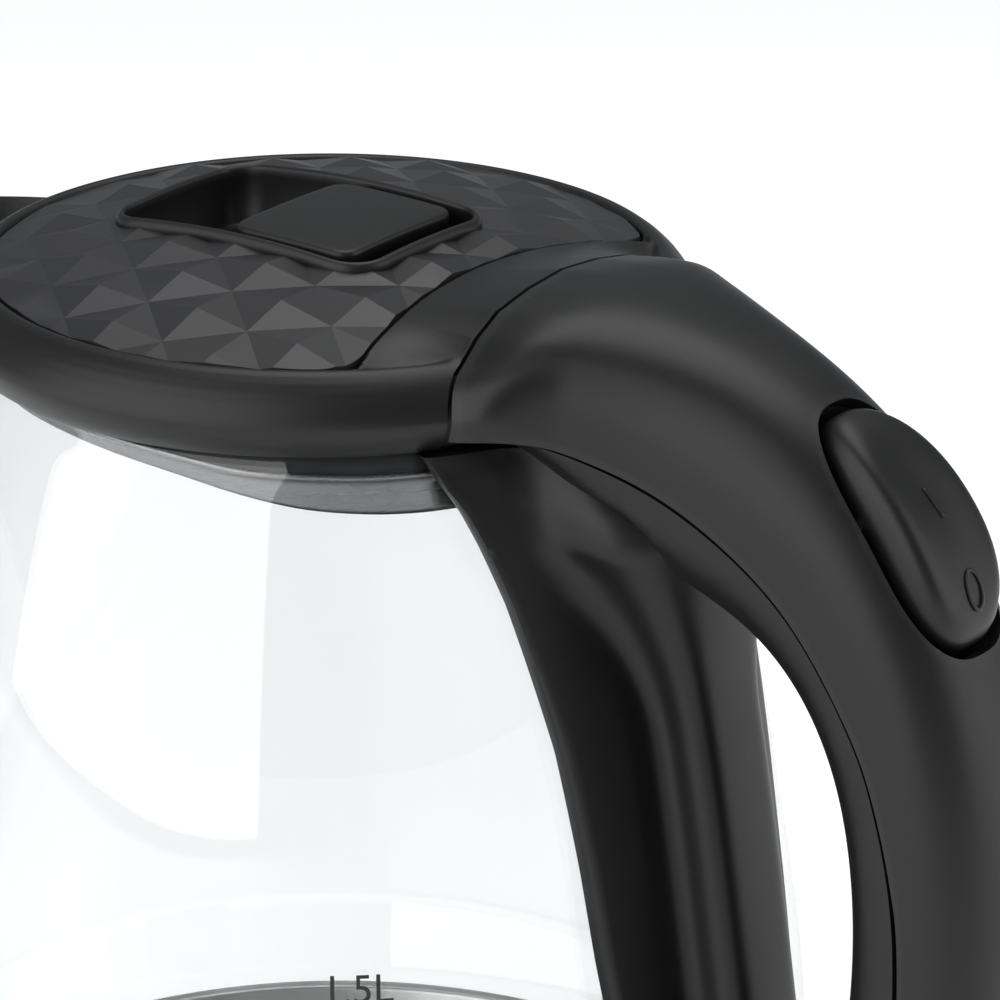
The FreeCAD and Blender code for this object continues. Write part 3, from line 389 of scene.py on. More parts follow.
# the collar's section as (radius, height above the rim): over its top, then round and under its side
COLLAR_TOP = np.array([(54.2, -0.55), (54.5, 0.1), (55.0, 0.45), (55.8, 0.5), (56.8, 0.1), (58.0, -0.8),
                       (59.2, -2.0), (60.3, -3.5), (61.0, -4.9), (61.4, -5.9), (61.55, -6.8)])
COLLAR_SIDE = [(61.45, -7.7), (61.0, -8.9), (60.3, -10.1), (59.3, -11.3), (58.2, -12.3), (57.4, -12.9),
               (57.0, -13.1), (56.4, -13.2), (55.4, -13.2)]
COLLAR_EDGE = 61.55
SEAM_END = 33.4                                  # degrees from the handle to the end of its seam
# the seam between collar and handle as (degrees, radius), and the shoulder's arch as (across, height)
SEAM = np.array([(0, 48.0), (5, 48.2), (10, 48.8), (15, 49.9), (20, 51.4), (26, 54.3), (28.8, 55.9),
                 (31, 57.7), (32.4, 59.4), (33.1, 60.7), (SEAM_END, COLLAR_EDGE)])
ARCH = np.array([(0, 8.2), (9.5, 7.4), (17.5, 5.9), (23.4, 3.4), (27.5, 0.3), (29.5, -1.4), (33, -5)])
BITE_CENTRE = 161.3                              # where the arc that bites the lid's edge is centred
BITE_RADIUS = 130.0


def smooth_max(a, b, k):
    """The larger of two heights, rounded where they meet."""
    h = np.clip(0.5 + 0.5 * (a - b) / k, 0, 1)
    return b * (1 - h) + a * h + k * h * (1 - h)


def collar_top(x, y):
    """Height of the collar and its shoulder above the rim."""
    r = np.hypot(x, y)
    side = np.abs(y)
    lip_x = BITE_CENTRE - np.sqrt(np.maximum((BITE_RADIUS - 0.5) ** 2 - y * y, 1.0))
    t = np.clip((x - lip_x) / (48.5 - lip_x), 0, 1.3)
    crown = DOME_RISE * (1 - (lip_x ** 2 + y * y) / MOUTH ** 2) + 0.25
    arch_end, arch_foot = ARCH[-1]
    arch = np.interp(side, ARCH[:, 0], ARCH[:, 1])
    arch = np.where(side > arch_end, arch_foot - (side - arch_end), arch)
    ease = np.clip(t, 0, 1) ** 1.25
    slope = (t - np.clip(t, 0, 1)) * 1.5
    shoulder = crown * (1 - ease) + arch * ease + slope - 0.6 * np.maximum(0.0, r - 55.5) ** 2
    fade = np.clip((x - lip_x + 3.0) / 3.0, 0, 1)
    shoulder = np.where(x > 25.0, shoulder * fade + (1 - fade) * -8.0, -8.0)
    ring = np.interp(r, COLLAR_TOP[:, 0], COLLAR_TOP[:, 1])
    return smooth_max(ring, shoulder, 1.1)


def lid_outline(gap):
    """Points round the lid's edge: a circle bitten at the back, its corners rounded."""
    radius = MOUTH - gap
    bite = BITE_RADIUS + gap
    centre = BITE_CENTRE
    corner = 8.0
    # the corner circle lies inside the rim circle and outside the bite
    inner = radius - corner
    outer = bite + corner
    x = (centre ** 2 + inner ** 2 - outer ** 2) / (2 * centre)
    y = math.sqrt(inner ** 2 - x * x)
    start = math.atan2(y, x)
    end = math.atan2(y, x - centre)
    points = []
    for a in np.linspace(start, 2 * math.pi - start, 260):
        points.append((radius * math.cos(a), radius * math.sin(a)))
    turn = end - math.pi
    for t in np.linspace(0, 1, 14)[1:-1]:
        a = -start + t * (start - turn)
        points.append((x + corner * math.cos(a), -y + corner * math.sin(a)))
    for a in np.linspace(-end, end - 2 * math.pi, 60):
        points.append((centre + bite * math.cos(a), bite * math.sin(a)))
    for t in np.linspace(0, 1, 14)[1:-1]:
        a = turn + t * (start - turn)
        points.append((x + corner * math.cos(a), y + corner * math.sin(a)))
    return np.array(points)


def outline_radius(gap, angles):
    """The lid outline's radius in each direction, in radians."""
    points = lid_outline(gap)
    polar = np.arctan2(points[:, 1], points[:, 0])
    radius = np.hypot(points[:, 0], points[:, 1])
    order = np.argsort(polar)
    return np.interp(angles, polar[order], radius[order], period=2 * np.pi)


# the glass from foot to neck as (radius, height below the rim)
GLASS_POINTS = [(76.0, -166), (76.2, -163), (77.6, -158), (80.3, -148), (80.9, -134), (79.8, -119),
                (77.6, -103), (76.2, -94), (73.9, -79), (72.2, -69), (70.5, -60), (68.3, -50), (65.8, -40),
                (63, -30), (60.4, -22), (58.3, -16.5), (55.3, -13.2), (55, -11), (55, -10)]
GLASS_WALL = 2.2


def glass_curve():
    """The jug's outer profile from foot to neck, as smooth (radius, height) points."""
    upper = catmull(GLASS_POINTS[1:], 130)
    return smoothed(np.vstack([GLASS_POINTS[0], upper]), 6)


CURVE = glass_curve()


def glass_radius(z):
    """Outer radius of the glass at a height below the rim."""
    return np.interp(z, CURVE[:, 1], CURVE[:, 0])


# ---------------- jug
def build_jug():
    """The glass wall, notched at the spout."""
    outer = CURVE.copy()
    slope = np.gradient(outer, axis=0)
    normal = np.column_stack([slope[:, 1], -slope[:, 0]])
    normal /= np.linalg.norm(normal, axis=1)[:, None]
    inner = outer - normal * GLASS_WALL
    inner[0, 1] = outer[0, 1]
    inner[-1, 1] = outer[-1, 1]
    profile = np.vstack([outer, inner[::-1]])
    profile[:, 1] += RIM
    jug = lathe("jug_wall", profile, GLASS, "kettle", 224, replaces=("glass_jug",), slot="glass")
    cutter = block_mesh("jug_notch", (-70, -44), (-12, 12), (RIM - 27, RIM - 12))
    carve(jug, cutter)
    all_smooth(jug)
    soften(jug, 0.25, 2, 50.0)


PRINT_STAND = 0.06                               # how far the print stands off the glass


def glyphs(text, high, z, angle, name):
    """Printed characters wrapped on the front of the glass."""
    curve = bpy.data.curves.new(name, "FONT")
    curve.body = text
    curve.size = high * MM
    curve.align_x = "CENTER"
    curve.align_y = "CENTER"
    obj = bpy.data.objects.new(name, curve)
    bpy.context.scene.collection.objects.link(obj)
    depsgraph = bpy.context.evaluated_depsgraph_get()
    data = bpy.data.meshes.new_from_object(obj.evaluated_get(depsgraph))
    bpy.data.objects.remove(obj, do_unlink=True)
    bm = bmesh.new()
    bm.from_mesh(data)
    bmesh.ops.triangulate(bm, faces=bm.faces)
    bmesh.ops.subdivide_edges(bm, edges=[e for e in bm.edges if e.calc_length() > 1.2 * MM], cuts=2)
    for vert in bm.verts:
        height = z + vert.co.y / MM
        radius = glass_radius(height) + PRINT_STAND
        spot = angle + vert.co.x / MM / radius
        vert.co = Vector((radius * math.cos(spot), radius * math.sin(spot), RIM + height)) * MM
    bm.to_mesh(data)
    bm.free()
    data.materials.clear()
    data.materials.append(INK)
    piece = bpy.data.objects.new(name, data)
    bpy.context.scene.collection.objects.link(piece)
    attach(piece, "kettle")


def tick(name, z, angle, half, thick):
    """A printed line round the glass."""
    rows = []
    for dz in (-thick / 2, thick / 2):
        radius = glass_radius(z + dz) + PRINT_STAND
        for a in np.linspace(-half, half, 24) / radius:
            rows.append((radius * math.cos(angle + a), radius * math.sin(angle + a), RIM + z + dz))
    mesh(name, rows, grid_faces(2, 24), INK, "kettle")


def build_marks():
    """The volume marks: the 1.5L of the photo, and generic ones below it."""
    angle = math.radians(-48.2)
    beside = angle + 0.13
    glyphs("1.5L", 6.6, -94.6, angle, "mark_15")
    for i, (text, z) in enumerate((("1.2", -109.0), ("1.0", -120.5), ("0.8", -131.5), ("0.5", -147.0))):
        glyphs(text, 5.6, z, angle, "mark_%d" % i)
        tick("mark_line_%d" % i, z, beside, 2.6, 0.55)
    for i, z in enumerate((-114.8, -126.0, -137.0, -142.0)):
        tick("mark_short_%d" % i, z, beside, 1.6, 0.45)


# ---------------- collar
def build_collar():
    """The collar round the mouth, with the shoulder that rises to the handle."""
    side = np.radians(np.r_[np.arange(0, 26, 1.0), np.arange(26, 34, 0.2), SEAM_END, np.arange(34.2, 60, 0.8),
                            np.arange(60, 180, 1.5)])
    angles = np.unique(np.round(np.r_[-side, side, np.pi], 6))
    seam = math.radians(SEAM_END)
    inside = outline_radius(-0.28, angles)
    edge = np.interp(np.degrees(np.abs(angles)), SEAM[:, 0], SEAM[:, 1])
    rows = 30
    verts = []
    for t in np.linspace(0, 1, rows):
        for a, r0, r1 in zip(angles, inside, edge):
            r = r0 + (r1 - r0) * t
            x, y = r * math.cos(a), r * math.sin(a)
            verts.append((x, y, RIM + float(collar_top(x, y))))
    cols = len(angles)
    faces = grid_faces(rows, cols, loop_cols=True)
    sides = [k for k, a in enumerate(angles) if abs(a) >= seam - 1e-6]
    span = [[(rows - 1) * cols + k for k in sides]]
    for r, z in COLLAR_SIDE:
        row = []
        for k in sides:
            row.append(len(verts))
            verts.append((r * math.cos(angles[k]), r * math.sin(angles[k]), RIM + z))
        span.append(row)
    for upper, lower in zip(span[:-1], span[1:]):
        for i in range(len(sides)):
            j = (i + 1) % len(sides)
            if abs(sides[j] - sides[i]) == 1 or (i == len(sides) - 1):
                faces.append((upper[i], upper[j], lower[j], lower[i]))
    collar = mesh("collar_shell", verts, faces, BLACK, "kettle", replaces=("collar",), slot="black_plastic")
    facing_up(collar)
    thicken(collar, 2.1)
    soften(collar, 0.42, 3, 50.0)


def build_mouth():
    """What lines the collar: its ledge, the hinge ears and the black band at the neck."""
    ledge = rounded([(54.6, -1.5, 0), (54.5, -6.6, 0.5), (51.3, -6.6, 0.5), (51.3, -8.6, 0.5),
                     (55.3, -8.6, 0.4), (55.3, -12.8, 0.5), (56.6, -12.8, 0.3), (56.8, -9.0, 0.3),
                     (56.6, -1.5, 0)])
    ledge[:, 1] += RIM
    lathe("collar_ledge", ledge, INNER, "kettle", 160)
    band = rounded([(53.0, -8.7, 0.1), (55.1, -8.7, 0.1), (55.1, -9.9, 0.1), (53.0, -9.9, 0.1),
                    (53.0, -8.7, 0)])
    band[:, 1] += RIM
    lathe("neck_seal", band, RUBBER, "kettle", 160, replaces=("upper_gasket",), slot="seal_rubber")
    for side, name in ((-17.5, "hinge_ear_near"), (17.5, "hinge_ear_far")):
        ear = block_mesh(name, (37.0, 43.0), (side - 1.5, side + 1.5), (RIM - 1.2, RIM + 3.0))
        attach(ear, "kettle")
        soften(ear, 0.5, 3)


# the steel band round the neck as (degrees from the handle, its foot, its bead), below the rim
SKIRT = np.array([(0, -25.2, -18.7), (33, -25.2, -18.7), (41.5, -24.9, -18.7), (55, -23.7, -18.2),
                  (65.6, -21.7, -18.0), (76.7, -19.4, -16.4), (88.8, -18.2, -15.5), (103, -17.4, -15.2),
                  (180, -17.0, -15.0)])
SKIRT_TOP = -8.9


def build_skirt():
    """The steel band behind the neck of the glass, deeper towards the handle."""
    angles = np.linspace(-np.pi, np.pi, 240, endpoint=False)
    degrees = np.degrees(np.abs(angles))
    foot = smoothed(np.interp(degrees, SKIRT[:, 0], SKIRT[:, 1]), 10)
    bead = smoothed(np.interp(degrees, SKIRT[:, 0], SKIRT[:, 2]), 10)
    upper = []
    for part in range(6):
        upper += [(52.3 * math.cos(a), 52.3 * math.sin(a), RIM + SKIRT_TOP + (b - SKIRT_TOP + 0.5) * part / 5)
                  for a, b in zip(angles, bead)]
    lining = mesh("neck_lining", upper, grid_faces(6, len(angles), loop_cols=True), INNER, "kettle")
    outward(lining)
    thicken(lining, 0.5)
    verts = []
    for dr, dz in ((0.0, 0.7), (0.45, 0.45), (0.6, 0.0), (0.45, -0.45), (0.05, -0.8)):
        r = 52.1 + dr
        verts += [(r * math.cos(a), r * math.sin(a), RIM + b + dz) for a, b in zip(angles, bead)]
    for part in range(1, 7):
        r = 52.15 - 0.05 * part
        verts += [(r * math.cos(a), r * math.sin(a), RIM + b - 0.8 + (f - b + 0.8) * part / 6)
                  for a, b, f in zip(angles, bead, foot)]
    rows = len(verts) // len(angles)
    skirt = mesh("neck_skirt", verts, grid_faces(rows, len(angles), loop_cols=True), STEEL, "kettle",
                 replaces=("neck_ring",), slot="steel")
    outward(skirt)
    thicken(skirt, 0.45)


def build_spout():
    """The beak on the collar: a pointed plan that narrows down onto the glass."""
    top, depth, root, tip = -5.9, 28.0, -50.0, 80.5
    cols = 41
    levels = np.linspace(0, 1, 22)
    verts = []
    for level in levels:
        reach = tip - 18.5 * level ** 1.15 - 1.2 * math.sin(math.pi * level)
        half = 20.0 * (1 - level) ** 0.8 + 2.2 * level
        for across in np.linspace(-1, 1, cols):
            bow = 1 - abs(across) ** 1.75
            x = root - (reach + root) * bow
            y = half * math.copysign(abs(across) ** 0.92, across)
            verts.append((x, y, RIM + top - depth * level))
    beak = mesh("spout_beak", verts, grid_faces(len(levels), cols), BLACK, "kettle")
    outward(beak, way=lambda spot: Vector((-1, 0, 0)))
    thicken(beak, 1.9)
    applied(beak)
    glass = CURVE[::-1][(CURVE[::-1][:, 1] < -13.3) & (CURVE[::-1][:, 1] > -45)] + [0.15, 0.0]
    core = np.vstack([[0.0, -9.0], [53.2, -9.0], [57.5, -9.1], [57.5, -13.0], glass, [0.0, -45.0]])
    core[:, 1] += RIM
    cutter = lathe("beak_core", core, INNER, None, 120, closed=False)
    outward(cutter, weld=True)
    carve(beak, cutter, solver="MANIFOLD")
    all_smooth(beak)
    soften(beak, 0.4, 3, 45.0)


# ---------------- lid
LATTICE = (-22.59, -40.32, 19.91, 17.22)      # first corner and the diamonds' width and depth
RELIEF = 1.25
LID_GAP = 0.22
WELL = (-29.9, 21.1, 16.75)                   # the latch well's ends and half width


def round_rect(x0, x1, half, corner, steps=9, per_side=14):
    """Points round a rectangle with rounded corners."""
    centres = [(x1 - corner, half - corner, 0), (x0 + corner, half - corner, 90),
               (x0 + corner, -half + corner, 180), (x1 - corner, -half + corner, 270)]
    points = []
    for cx, cy, first in centres:
        for a in np.radians(np.linspace(first, first + 90, steps)):
            points.append((cx + corner * math.cos(a), cy + corner * math.sin(a)))
    dense = []
    for i, here in enumerate(points):
        there = points[(i + 1) % len(points)]
        gap = math.dist(here, there)
        pieces = max(1, int(gap / 2.5))
        for k in range(pieces):
            t = k / pieces
            dense.append((here[0] * (1 - t) + there[0] * t, here[1] * (1 - t) + there[1] * t))
    return np.array(dense)


def rect_rings(x0, x1, half, steps):
    """Rounded rectangles grown by (amount, corner) steps, all with as many points as the first."""
    rings = []
    for grow, corner in steps:
        line = round_rect(x0 - grow, x1 + grow, half + grow, corner)
        if rings and len(line) != len(rings[0]):
            line = resample(np.vstack([line, line[:1]]), len(rings[0]) + 1)[:-1]
        rings.append(line)
    return rings


def build_lid_panel():
    """The lid's top: low pyramids on a diamond lattice, cut to the lid's outline and its well."""
    x0, y0, dx, dy = LATTICE
    verts = []
    index = {}

    def corner(i, j):
        key = (i, j)
        if key not in index:
            x = x0 + (i + j) * dx / 2
            y = y0 + (i - j) * dy / 2
            index[key] = len(verts)
            verts.append((x, y, dome(x, y)))
        return index[key]

    faces = []
    for i in range(-10, 18):
        for j in range(-10, 18):
            cx = x0 + (i + j + 1) * dx / 2
            cy = y0 + (i - j) * dy / 2
            if math.hypot(cx, cy) > 72:
                continue
            ring = [corner(i, j), corner(i + 1, j), corner(i + 1, j + 1), corner(i, j + 1)]
            top = len(verts)
            inside = float(outline_radius(LID_GAP, math.atan2(cy, cx))) - math.hypot(cx, cy)
            verts.append((cx, cy, dome(cx, cy) + RELIEF * min(1.0, max(0.2, inside / 4.0))))
            faces += [(a, b, top) for a, b in zip(ring, ring[1:] + ring[:1])]
    panel = mesh("lid_relief", verts, faces, LID_BLACK_PAINTED_LIGHT, None, smooth=False)
    facing_up(panel)
    bm = bmesh.new()
    bm.from_mesh(panel.data)
    border = [edge for edge in bm.edges if edge.is_boundary]
    for item in bmesh.ops.extrude_edge_only(bm, edges=border)["geom"]:
        if isinstance(item, bmesh.types.BMVert):
            item.co.z = (RIM - 14.0) * MM
    bmesh.ops.holes_fill(bm, edges=[e for e in bm.edges if e.is_boundary], sides=0)
    bmesh.ops.recalc_face_normals(bm, faces=bm.faces)
    bm.to_mesh(panel.data)
    bm.free()
    carve(panel, prism("lid_plan", lid_outline(LID_GAP), RIM - 2.2, RIM + 20), "INTERSECT")
    well = round_rect(WELL[0] - 1.3, WELL[1] + 1.3, WELL[2] + 1.3, 6.2)
    carve(panel, prism("lid_well_cut", well, RIM - 20, RIM + 30))
    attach(panel, "lid")
    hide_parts("lid_panel")
    mod = panel.modifiers.new("soft_edges", "BEVEL")
    mod.width = 0.32 * MM
    mod.segments = 2
    mod.limit_method = "ANGLE"
    mod.angle_limit = math.radians(6.0)


def build_latch_well():
    """The raised lip and the dark pocket that the latch slides in."""
    x0, x1, half = WELL
    lip = [(1.35, -1.2), (1.5, 0.4), (1.45, 1.2), (1.1, 1.75), (0.65, 1.95), (0.2, 1.75), (0.0, 1.2),
           (-0.05, 0.0)]
    floor = [(-0.3, -2.85), (-0.9, -3.3), (-1.8, -3.75)]
    lines = rect_rings(x0, x1, half, [(grow, 5.4 + grow) for grow, _ in lip + floor])
    verts = []
    for (grow, lift), line in zip(lip, lines):
        verts += [(x, y, dome(x, y) + lift) for x, y in line]
    for (grow, level), line in zip(floor, lines[len(lip):]):
        verts += [(x, y, RIM + level) for x, y in line]
    cols = len(lines[0])
    faces = grid_faces(len(lines), cols, loop_cols=True)
    faces += fan(len(verts) - cols, cols, len(verts))
    verts.append(((x0 + x1) / 2, 0, RIM - 3.8))
    well = mesh("latch_pocket", verts, faces, BLACK, "lid", replaces=("latch_well",), slot="black_plastic")
    facing_up(well)
    thicken(well, 0.9)


def build_latch():
    """The sliding plate: softly crowned, with a rolled front edge to pull on."""
    x0, x1, half = -7.1, 16.9, 14.6
    levels = [(-0.5, -3.4), (-0.1, -3.2), (0.0, -2.6), (0.0, -0.9), (-0.12, -0.4), (-0.42, -0.1), (-0.9, 0.0),
              (-2.0, 0.02), (-4.5, 0.06), (-8.0, 0.09)]
    lines = rect_rings(x0, x1, half, [(grow, max(3.4 + grow, 1.2)) for grow, _ in levels])
    verts = []
    for (grow, lift), line in zip(levels, lines):
        verts += [(x, y, RIM + 8.75 - 0.0016 * (x * x + y * y) + lift) for x, y in line]
    cols = len(lines[0])
    faces = grid_faces(len(levels), cols, loop_cols=True)
    faces += fan(len(verts) - cols, cols, len(verts))
    faces += fan(0, cols, len(verts) + 1)
    middle = (x0 + x1) / 2
    verts += [(middle, 0, RIM + 8.8), (middle, 0, RIM + 5.3)]
    outward(mesh("latch_plate", verts, faces, BLACK, "latch", replaces=("latch_slider",),
                 slot="black_plastic"))
    stem = block_mesh("latch_stem", (0.0, 10.0), (-8.0, 8.0), (RIM - 10.9, RIM + 5.6))
    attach(stem, "latch")
    soften(stem, 0.4)
    bolt = block_mesh("latch_bolt", (-50.8, 1.0), (-4.0, 4.0), (RIM - 10.9, RIM - 8.8))
    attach(bolt, "latch")
    soften(bolt, 0.5)


# ---------------- handle
# sections along the loop: outer point, inner point and half width, as (x, height above the rim)
STATIONS = [
    ((48.4, 8.2), (48.4, -13.0), 30.6), ((54.0, 9.0), (53.5, -14.2), 29.4),
    ((60.0, 9.4), (58.5, -17.5), 27.4), ((67.0, 8.8), (63.0, -22.5), 24.6),
    ((74.0, 7.3), (67.5, -27.5), 22.3), ((81.0, 5.4), (72.0, -31.5), 20.4),
    ((88.0, 3.0), (77.0, -35.0), 19.0), ((101.0, -3.3), (87.5, -39.0), 17.4),
    ((113.0, -13.0), (96.0, -44.5), 16.6),
    ((122.0, -25.0), (102.5, -52.5), 16.2), ((129.0, -40.0), (106.8, -62.0), 16.0),
    ((134.5, -60.0), (109.3, -73.0), 16.0), ((137.0, -85.0), (110.3, -87.0), 16.0),
    ((136.0, -108.0), (109.3, -103.0), 16.0), ((131.5, -128.0), (106.0, -117.0), 15.8),
    ((122.0, -145.0), (100.5, -128.0), 15.5), ((107.0, -156.0), (93.0, -135.0), 15.5),
    ((90.0, -160.0), (86.0, -138.0), 16.0), ((76.0, -160.5), (76.0, -138.5), 16.2)]
# where the outer and the inner shell meet
PARTING = [(44.0, -11.2), (53, -10.8), (60, -11.0), (66, -12), (78, -16.2), (87.6, -21.3), (98.2, -29.0),
           (105.7, -37.0), (115.0, -51.2), (118.7, -60.3), (121.7, -71.2), (123.2, -81.0), (123.7, -91.0),
           (123, -110), (120, -128), (110, -145), (95, -153), (82, -156), (70, -157)]
POWER = 2.0 / 2.6                                # how square the sections are


def spine(count):
    """The handle's stations as smooth arrays: outer point, inner point, half width."""
    rows = [[*outer, *inner, half] for outer, inner, half in STATIONS]
    return smoothed(catmull(rows, count), 40)


SPINE = spine(150)


def crossing(outer, inner, line):
    """How far from the inner to the outer point the parting line crosses, 0 to 1."""
    direction = outer - inner
    for a, b in zip(line[:-1], line[1:]):
        edge = b - a
        det = direction[0] * -edge[1] + edge[0] * direction[1]
        if abs(det) < 1e-9:
            continue
        rhs = a - inner
        t = (rhs[0] * -edge[1] + edge[0] * rhs[1]) / det
        u = (direction[0] * rhs[1] - direction[1] * rhs[0]) / det
        if -0.001 <= u <= 1.001 and -0.5 < t < 1.5:
            return t
    return 0.5


def parting_levels():
    """The parting line's level in every section of the spine."""
    line = catmull(PARTING, 400)
    levels = [crossing(row[:2], row[2:4], line) for row in SPINE]
    return np.clip(smoothed(levels, 12), 0.08, 0.92)


LEVELS = parting_levels()


def handle_arc(row, low, high, count, inset=0.0):
    """Points across one section between two angles measured from the near side over the top."""
    outer = np.array([row[0], 0, row[1]])
    inner = np.array([row[2], 0, row[3]])
    centre = (outer + inner) / 2
    up = (outer - inner) / 2
    depth = np.linalg.norm(up)
    up = up / depth
    angles = np.linspace(low, high, 400)
    across = np.sign(np.cos(angles)) * np.abs(np.cos(angles)) ** POWER
    rise = np.sign(np.sin(angles)) * np.abs(np.sin(angles)) ** POWER
    sideways = np.outer(-across * (row[4] - inset), [0, 1, 0])
    return resample(centre + sideways + np.outer(rise * (depth - inset), up), count)


def level_angle(level):
    """The angle at which a section is at a level between inner (0) and outer (1)."""
    rise = 2 * level - 1
    return math.copysign(math.asin(abs(rise) ** (1 / POWER)), rise)


def seam_curve(count, shift):
    """The front edge of the handle, flush with the collar, from the near side over the top."""
    points = []
    a = math.radians(SEAM_END)
    for z, r in ((-10.6, 60.0), (-9.6, 60.5), (-8.6, 61.1), (-7.7, 61.4)):
        points.append((r * math.cos(a) + shift, -r * math.sin(a), z))
    for degrees in np.r_[SEAM_END, 33.1, np.arange(32.8, 26, -0.4), np.arange(26, 0, -1.0), 0.0]:
        r = np.interp(degrees, SEAM[:, 0], SEAM[:, 1])
        a = math.radians(degrees)
        x, y = r * math.cos(a), -r * math.sin(a)
        points.append((x + shift, y, float(collar_top(x, y))))
    near = np.array(points)
    far = near[::-1][1:] * [1, -1, 1]
    return resample(np.vstack([near, far]), count)


def away_from_grip(spot):
    """The direction from the middle of the finger gap to a spot."""
    return (spot - Vector((85 * MM, 0, (RIM - 80) * MM))).normalized()


def rocker_cutter(name, reach, upper_half, lower_half, depth):
    """What cuts the rocker's well."""
    cutter = prism(name, pill_outline(reach, upper_half, lower_half), -depth, 26)
    cutter.data.transform(rocker_matrix())
    return cutter


def build_outer_shell():
    """The back of the handle: it starts flush with the collar and eases into the loop's sections."""
    cols = 72
    first = seam_curve(cols, 0.75)
    verts = []
    start = np.array([SPINE[0][0], 0.0, SPINE[0][1]])
    for row, level in zip(SPINE, LEVELS):
        if row[0] < 70 and row[1] < -100:
            break
        low = level_angle(level) + 0.01
        arc = handle_arc(row, low, math.pi - low, cols)
        along = (0.5 * (row[0] + row[2]) - 48.4) / 17.0
        ease = np.clip(along, 0, 1)
        ease = ease * ease * (3 - 2 * ease)
        moved = first + (np.array([row[0], 0, row[1]]) - start) * [1, 0, 1]
        verts += list(moved * (1 - ease) + arc * ease + [0, 0, RIM])
    shell = mesh("handle_back", verts, grid_faces(len(verts) // cols, cols), BLACK, "kettle",
                 replaces=("handle_outer_shell",), slot="black_plastic")
    outward(shell, way=away_from_grip)
    thicken(shell, 2.2)
    applied(shell)
    carve(shell, rocker_cutter("rocker_cut", 22.3, 10.9, 12.4, 14))
    all_smooth(shell)
    soften(shell, 0.4, 3, 48.0)


def build_shade_core():
    """A core darker and duller than the plastic inside the handle: painted shade that shows in the grooves of
    the handle.
    """
    cols = 40
    verts = []
    rows = SPINE[2:-2]
    for row in rows:
        verts += list(handle_arc(row, 0, 2 * math.pi, cols + 1, 2.4)[:-1] + [0, 0, RIM])
    faces = grid_faces(len(rows), cols, loop_cols=True) + ends(len(rows), cols)
    # the handle's hollow filled with a painted shade core
    shade_core = mesh("handle_shade_core", verts, faces, SHADE_BLACK, "kettle")
    outward(shade_core)
    carve(shade_core, rocker_cutter("shade_core_cut", 21.6, 10.3, 11.8, 13))


# half the width of the strip on the glass as (depth below the rim, half width)
STRIP = np.array([(12, 38.3), (14.5, 37.4), (18, 36.7), (22, 34.8), (27.5, 33.2), (37, 31), (51.5, 28.9),
                  (61, 27.5), (71, 26.8), (81, 26.1), (96, 25.4), (120, 23.5), (160.5, 21.5)])


def build_inner_shell():
    """The inner half of the grip with the spine and rib that hug the glass, as one moulding."""
    cols = 60
    verts = []
    for row, level in zip(SPINE, LEVELS):
        low = level_angle(level) - 0.014
        verts += list(handle_arc(row, math.pi - low, 2 * math.pi + low, cols, 0.1) + [0, 0, RIM])
    faces = grid_faces(len(SPINE), cols, loop_cols=True) + ends(len(SPINE), cols)
    half = outward(mesh("half_loop", verts, faces, BLACK, None))
    carve(half, build_spine(), "UNION")
    glass = CURVE[::-1][CURVE[::-1][:, 1] < -13.6] + [0.2, 0.0]
    core = np.vstack([[0.0, -9.0], [61.9, -6.8], [61.8, -8.0], [60.4, -10.3], [58.0, -12.7], [57.0, -13.4],
                      [56.0, -13.45], glass, [0.0, -166.5]])
    core[:, 1] += RIM
    carve(half, lathe("spine_core", core, INNER, None, 200))
    all_smooth(half)
    half.data.set_sharp_from_angle(angle=math.radians(42))
    half.name = "handle_front"
    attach(half, "kettle")
    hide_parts("handle_inner_shell")
    soften(half, 0.35, 2, 55.0)


def spine_section(z):
    """Half of the spine's section, crown to edge, as (out from the glass, across)."""
    wide = float(np.interp(-z, STRIP[:, 0], STRIP[:, 1]))
    flare = float(np.clip((z + 62.0) / 34.0, 0, 1)) ** 2
    stand = 3.5 + 8.9 * float(np.clip((-z - 15.0) / 8.0, 0, 1)) + 7.0 * flare
    rib = 8.2 + 9.0 * flare
    path = [(stand, 0.0, 0), (stand, rib, 5.2 + 4.0 * flare),
            (3.6, rib + 0.8 + 5.0 * flare, 3.0 + 6.0 * flare), (3.3, wide - 0.2, 1.2), (0.1, wide, 0)]
    return resample(rounded(path, 8), 44)


def build_spine():
    """The plate that hugs the glass with the rounded rib along its middle."""
    verts = []
    zs = np.linspace(-13.4, -160.5, 96)
    for z in zs:
        r = float(glass_radius(z))
        half = spine_section(z)
        whole = np.vstack([half[::-1] * [1, -1], half[1:]])
        for out, across in whole:
            a = across / (r + 3.0)
            verts.append(((r + out) * math.cos(a), (r + out) * math.sin(a), RIM + z))
        for a in np.linspace(whole[-1][1], whole[0][1], 24)[1:-1] / (r + 3.0):
            verts.append(((r - 2.0) * math.cos(a), (r - 2.0) * math.sin(a), RIM + z))
    ring = len(verts) // len(zs)
    faces = grid_faces(len(zs), ring, loop_cols=True) + ends(len(zs), ring)
    return outward(mesh("spine_plate", verts, faces, BLACK, None))


# ---------------- rocker
ROCKER_CENTRE = (116.5, -18.44)                   # in front of the CAD pin, as (x, height above the rim)


def rocker_matrix():
    """The rocker's place: x along it downwards, z out of the handle."""
    upper = np.array([101.0, -3.3])
    lower = np.array([129.0, -40.0])
    along = (lower - upper) / np.linalg.norm(lower - upper)
    x = Vector((along[0], 0, along[1]))
    y = Vector((0, 1, 0))
    z = x.cross(y)
    turn = Matrix((x, y, z)).transposed().to_4x4()
    return Matrix.Translation(Vector((ROCKER_CENTRE[0], 0, RIM + ROCKER_CENTRE[1])) * MM) @ turn


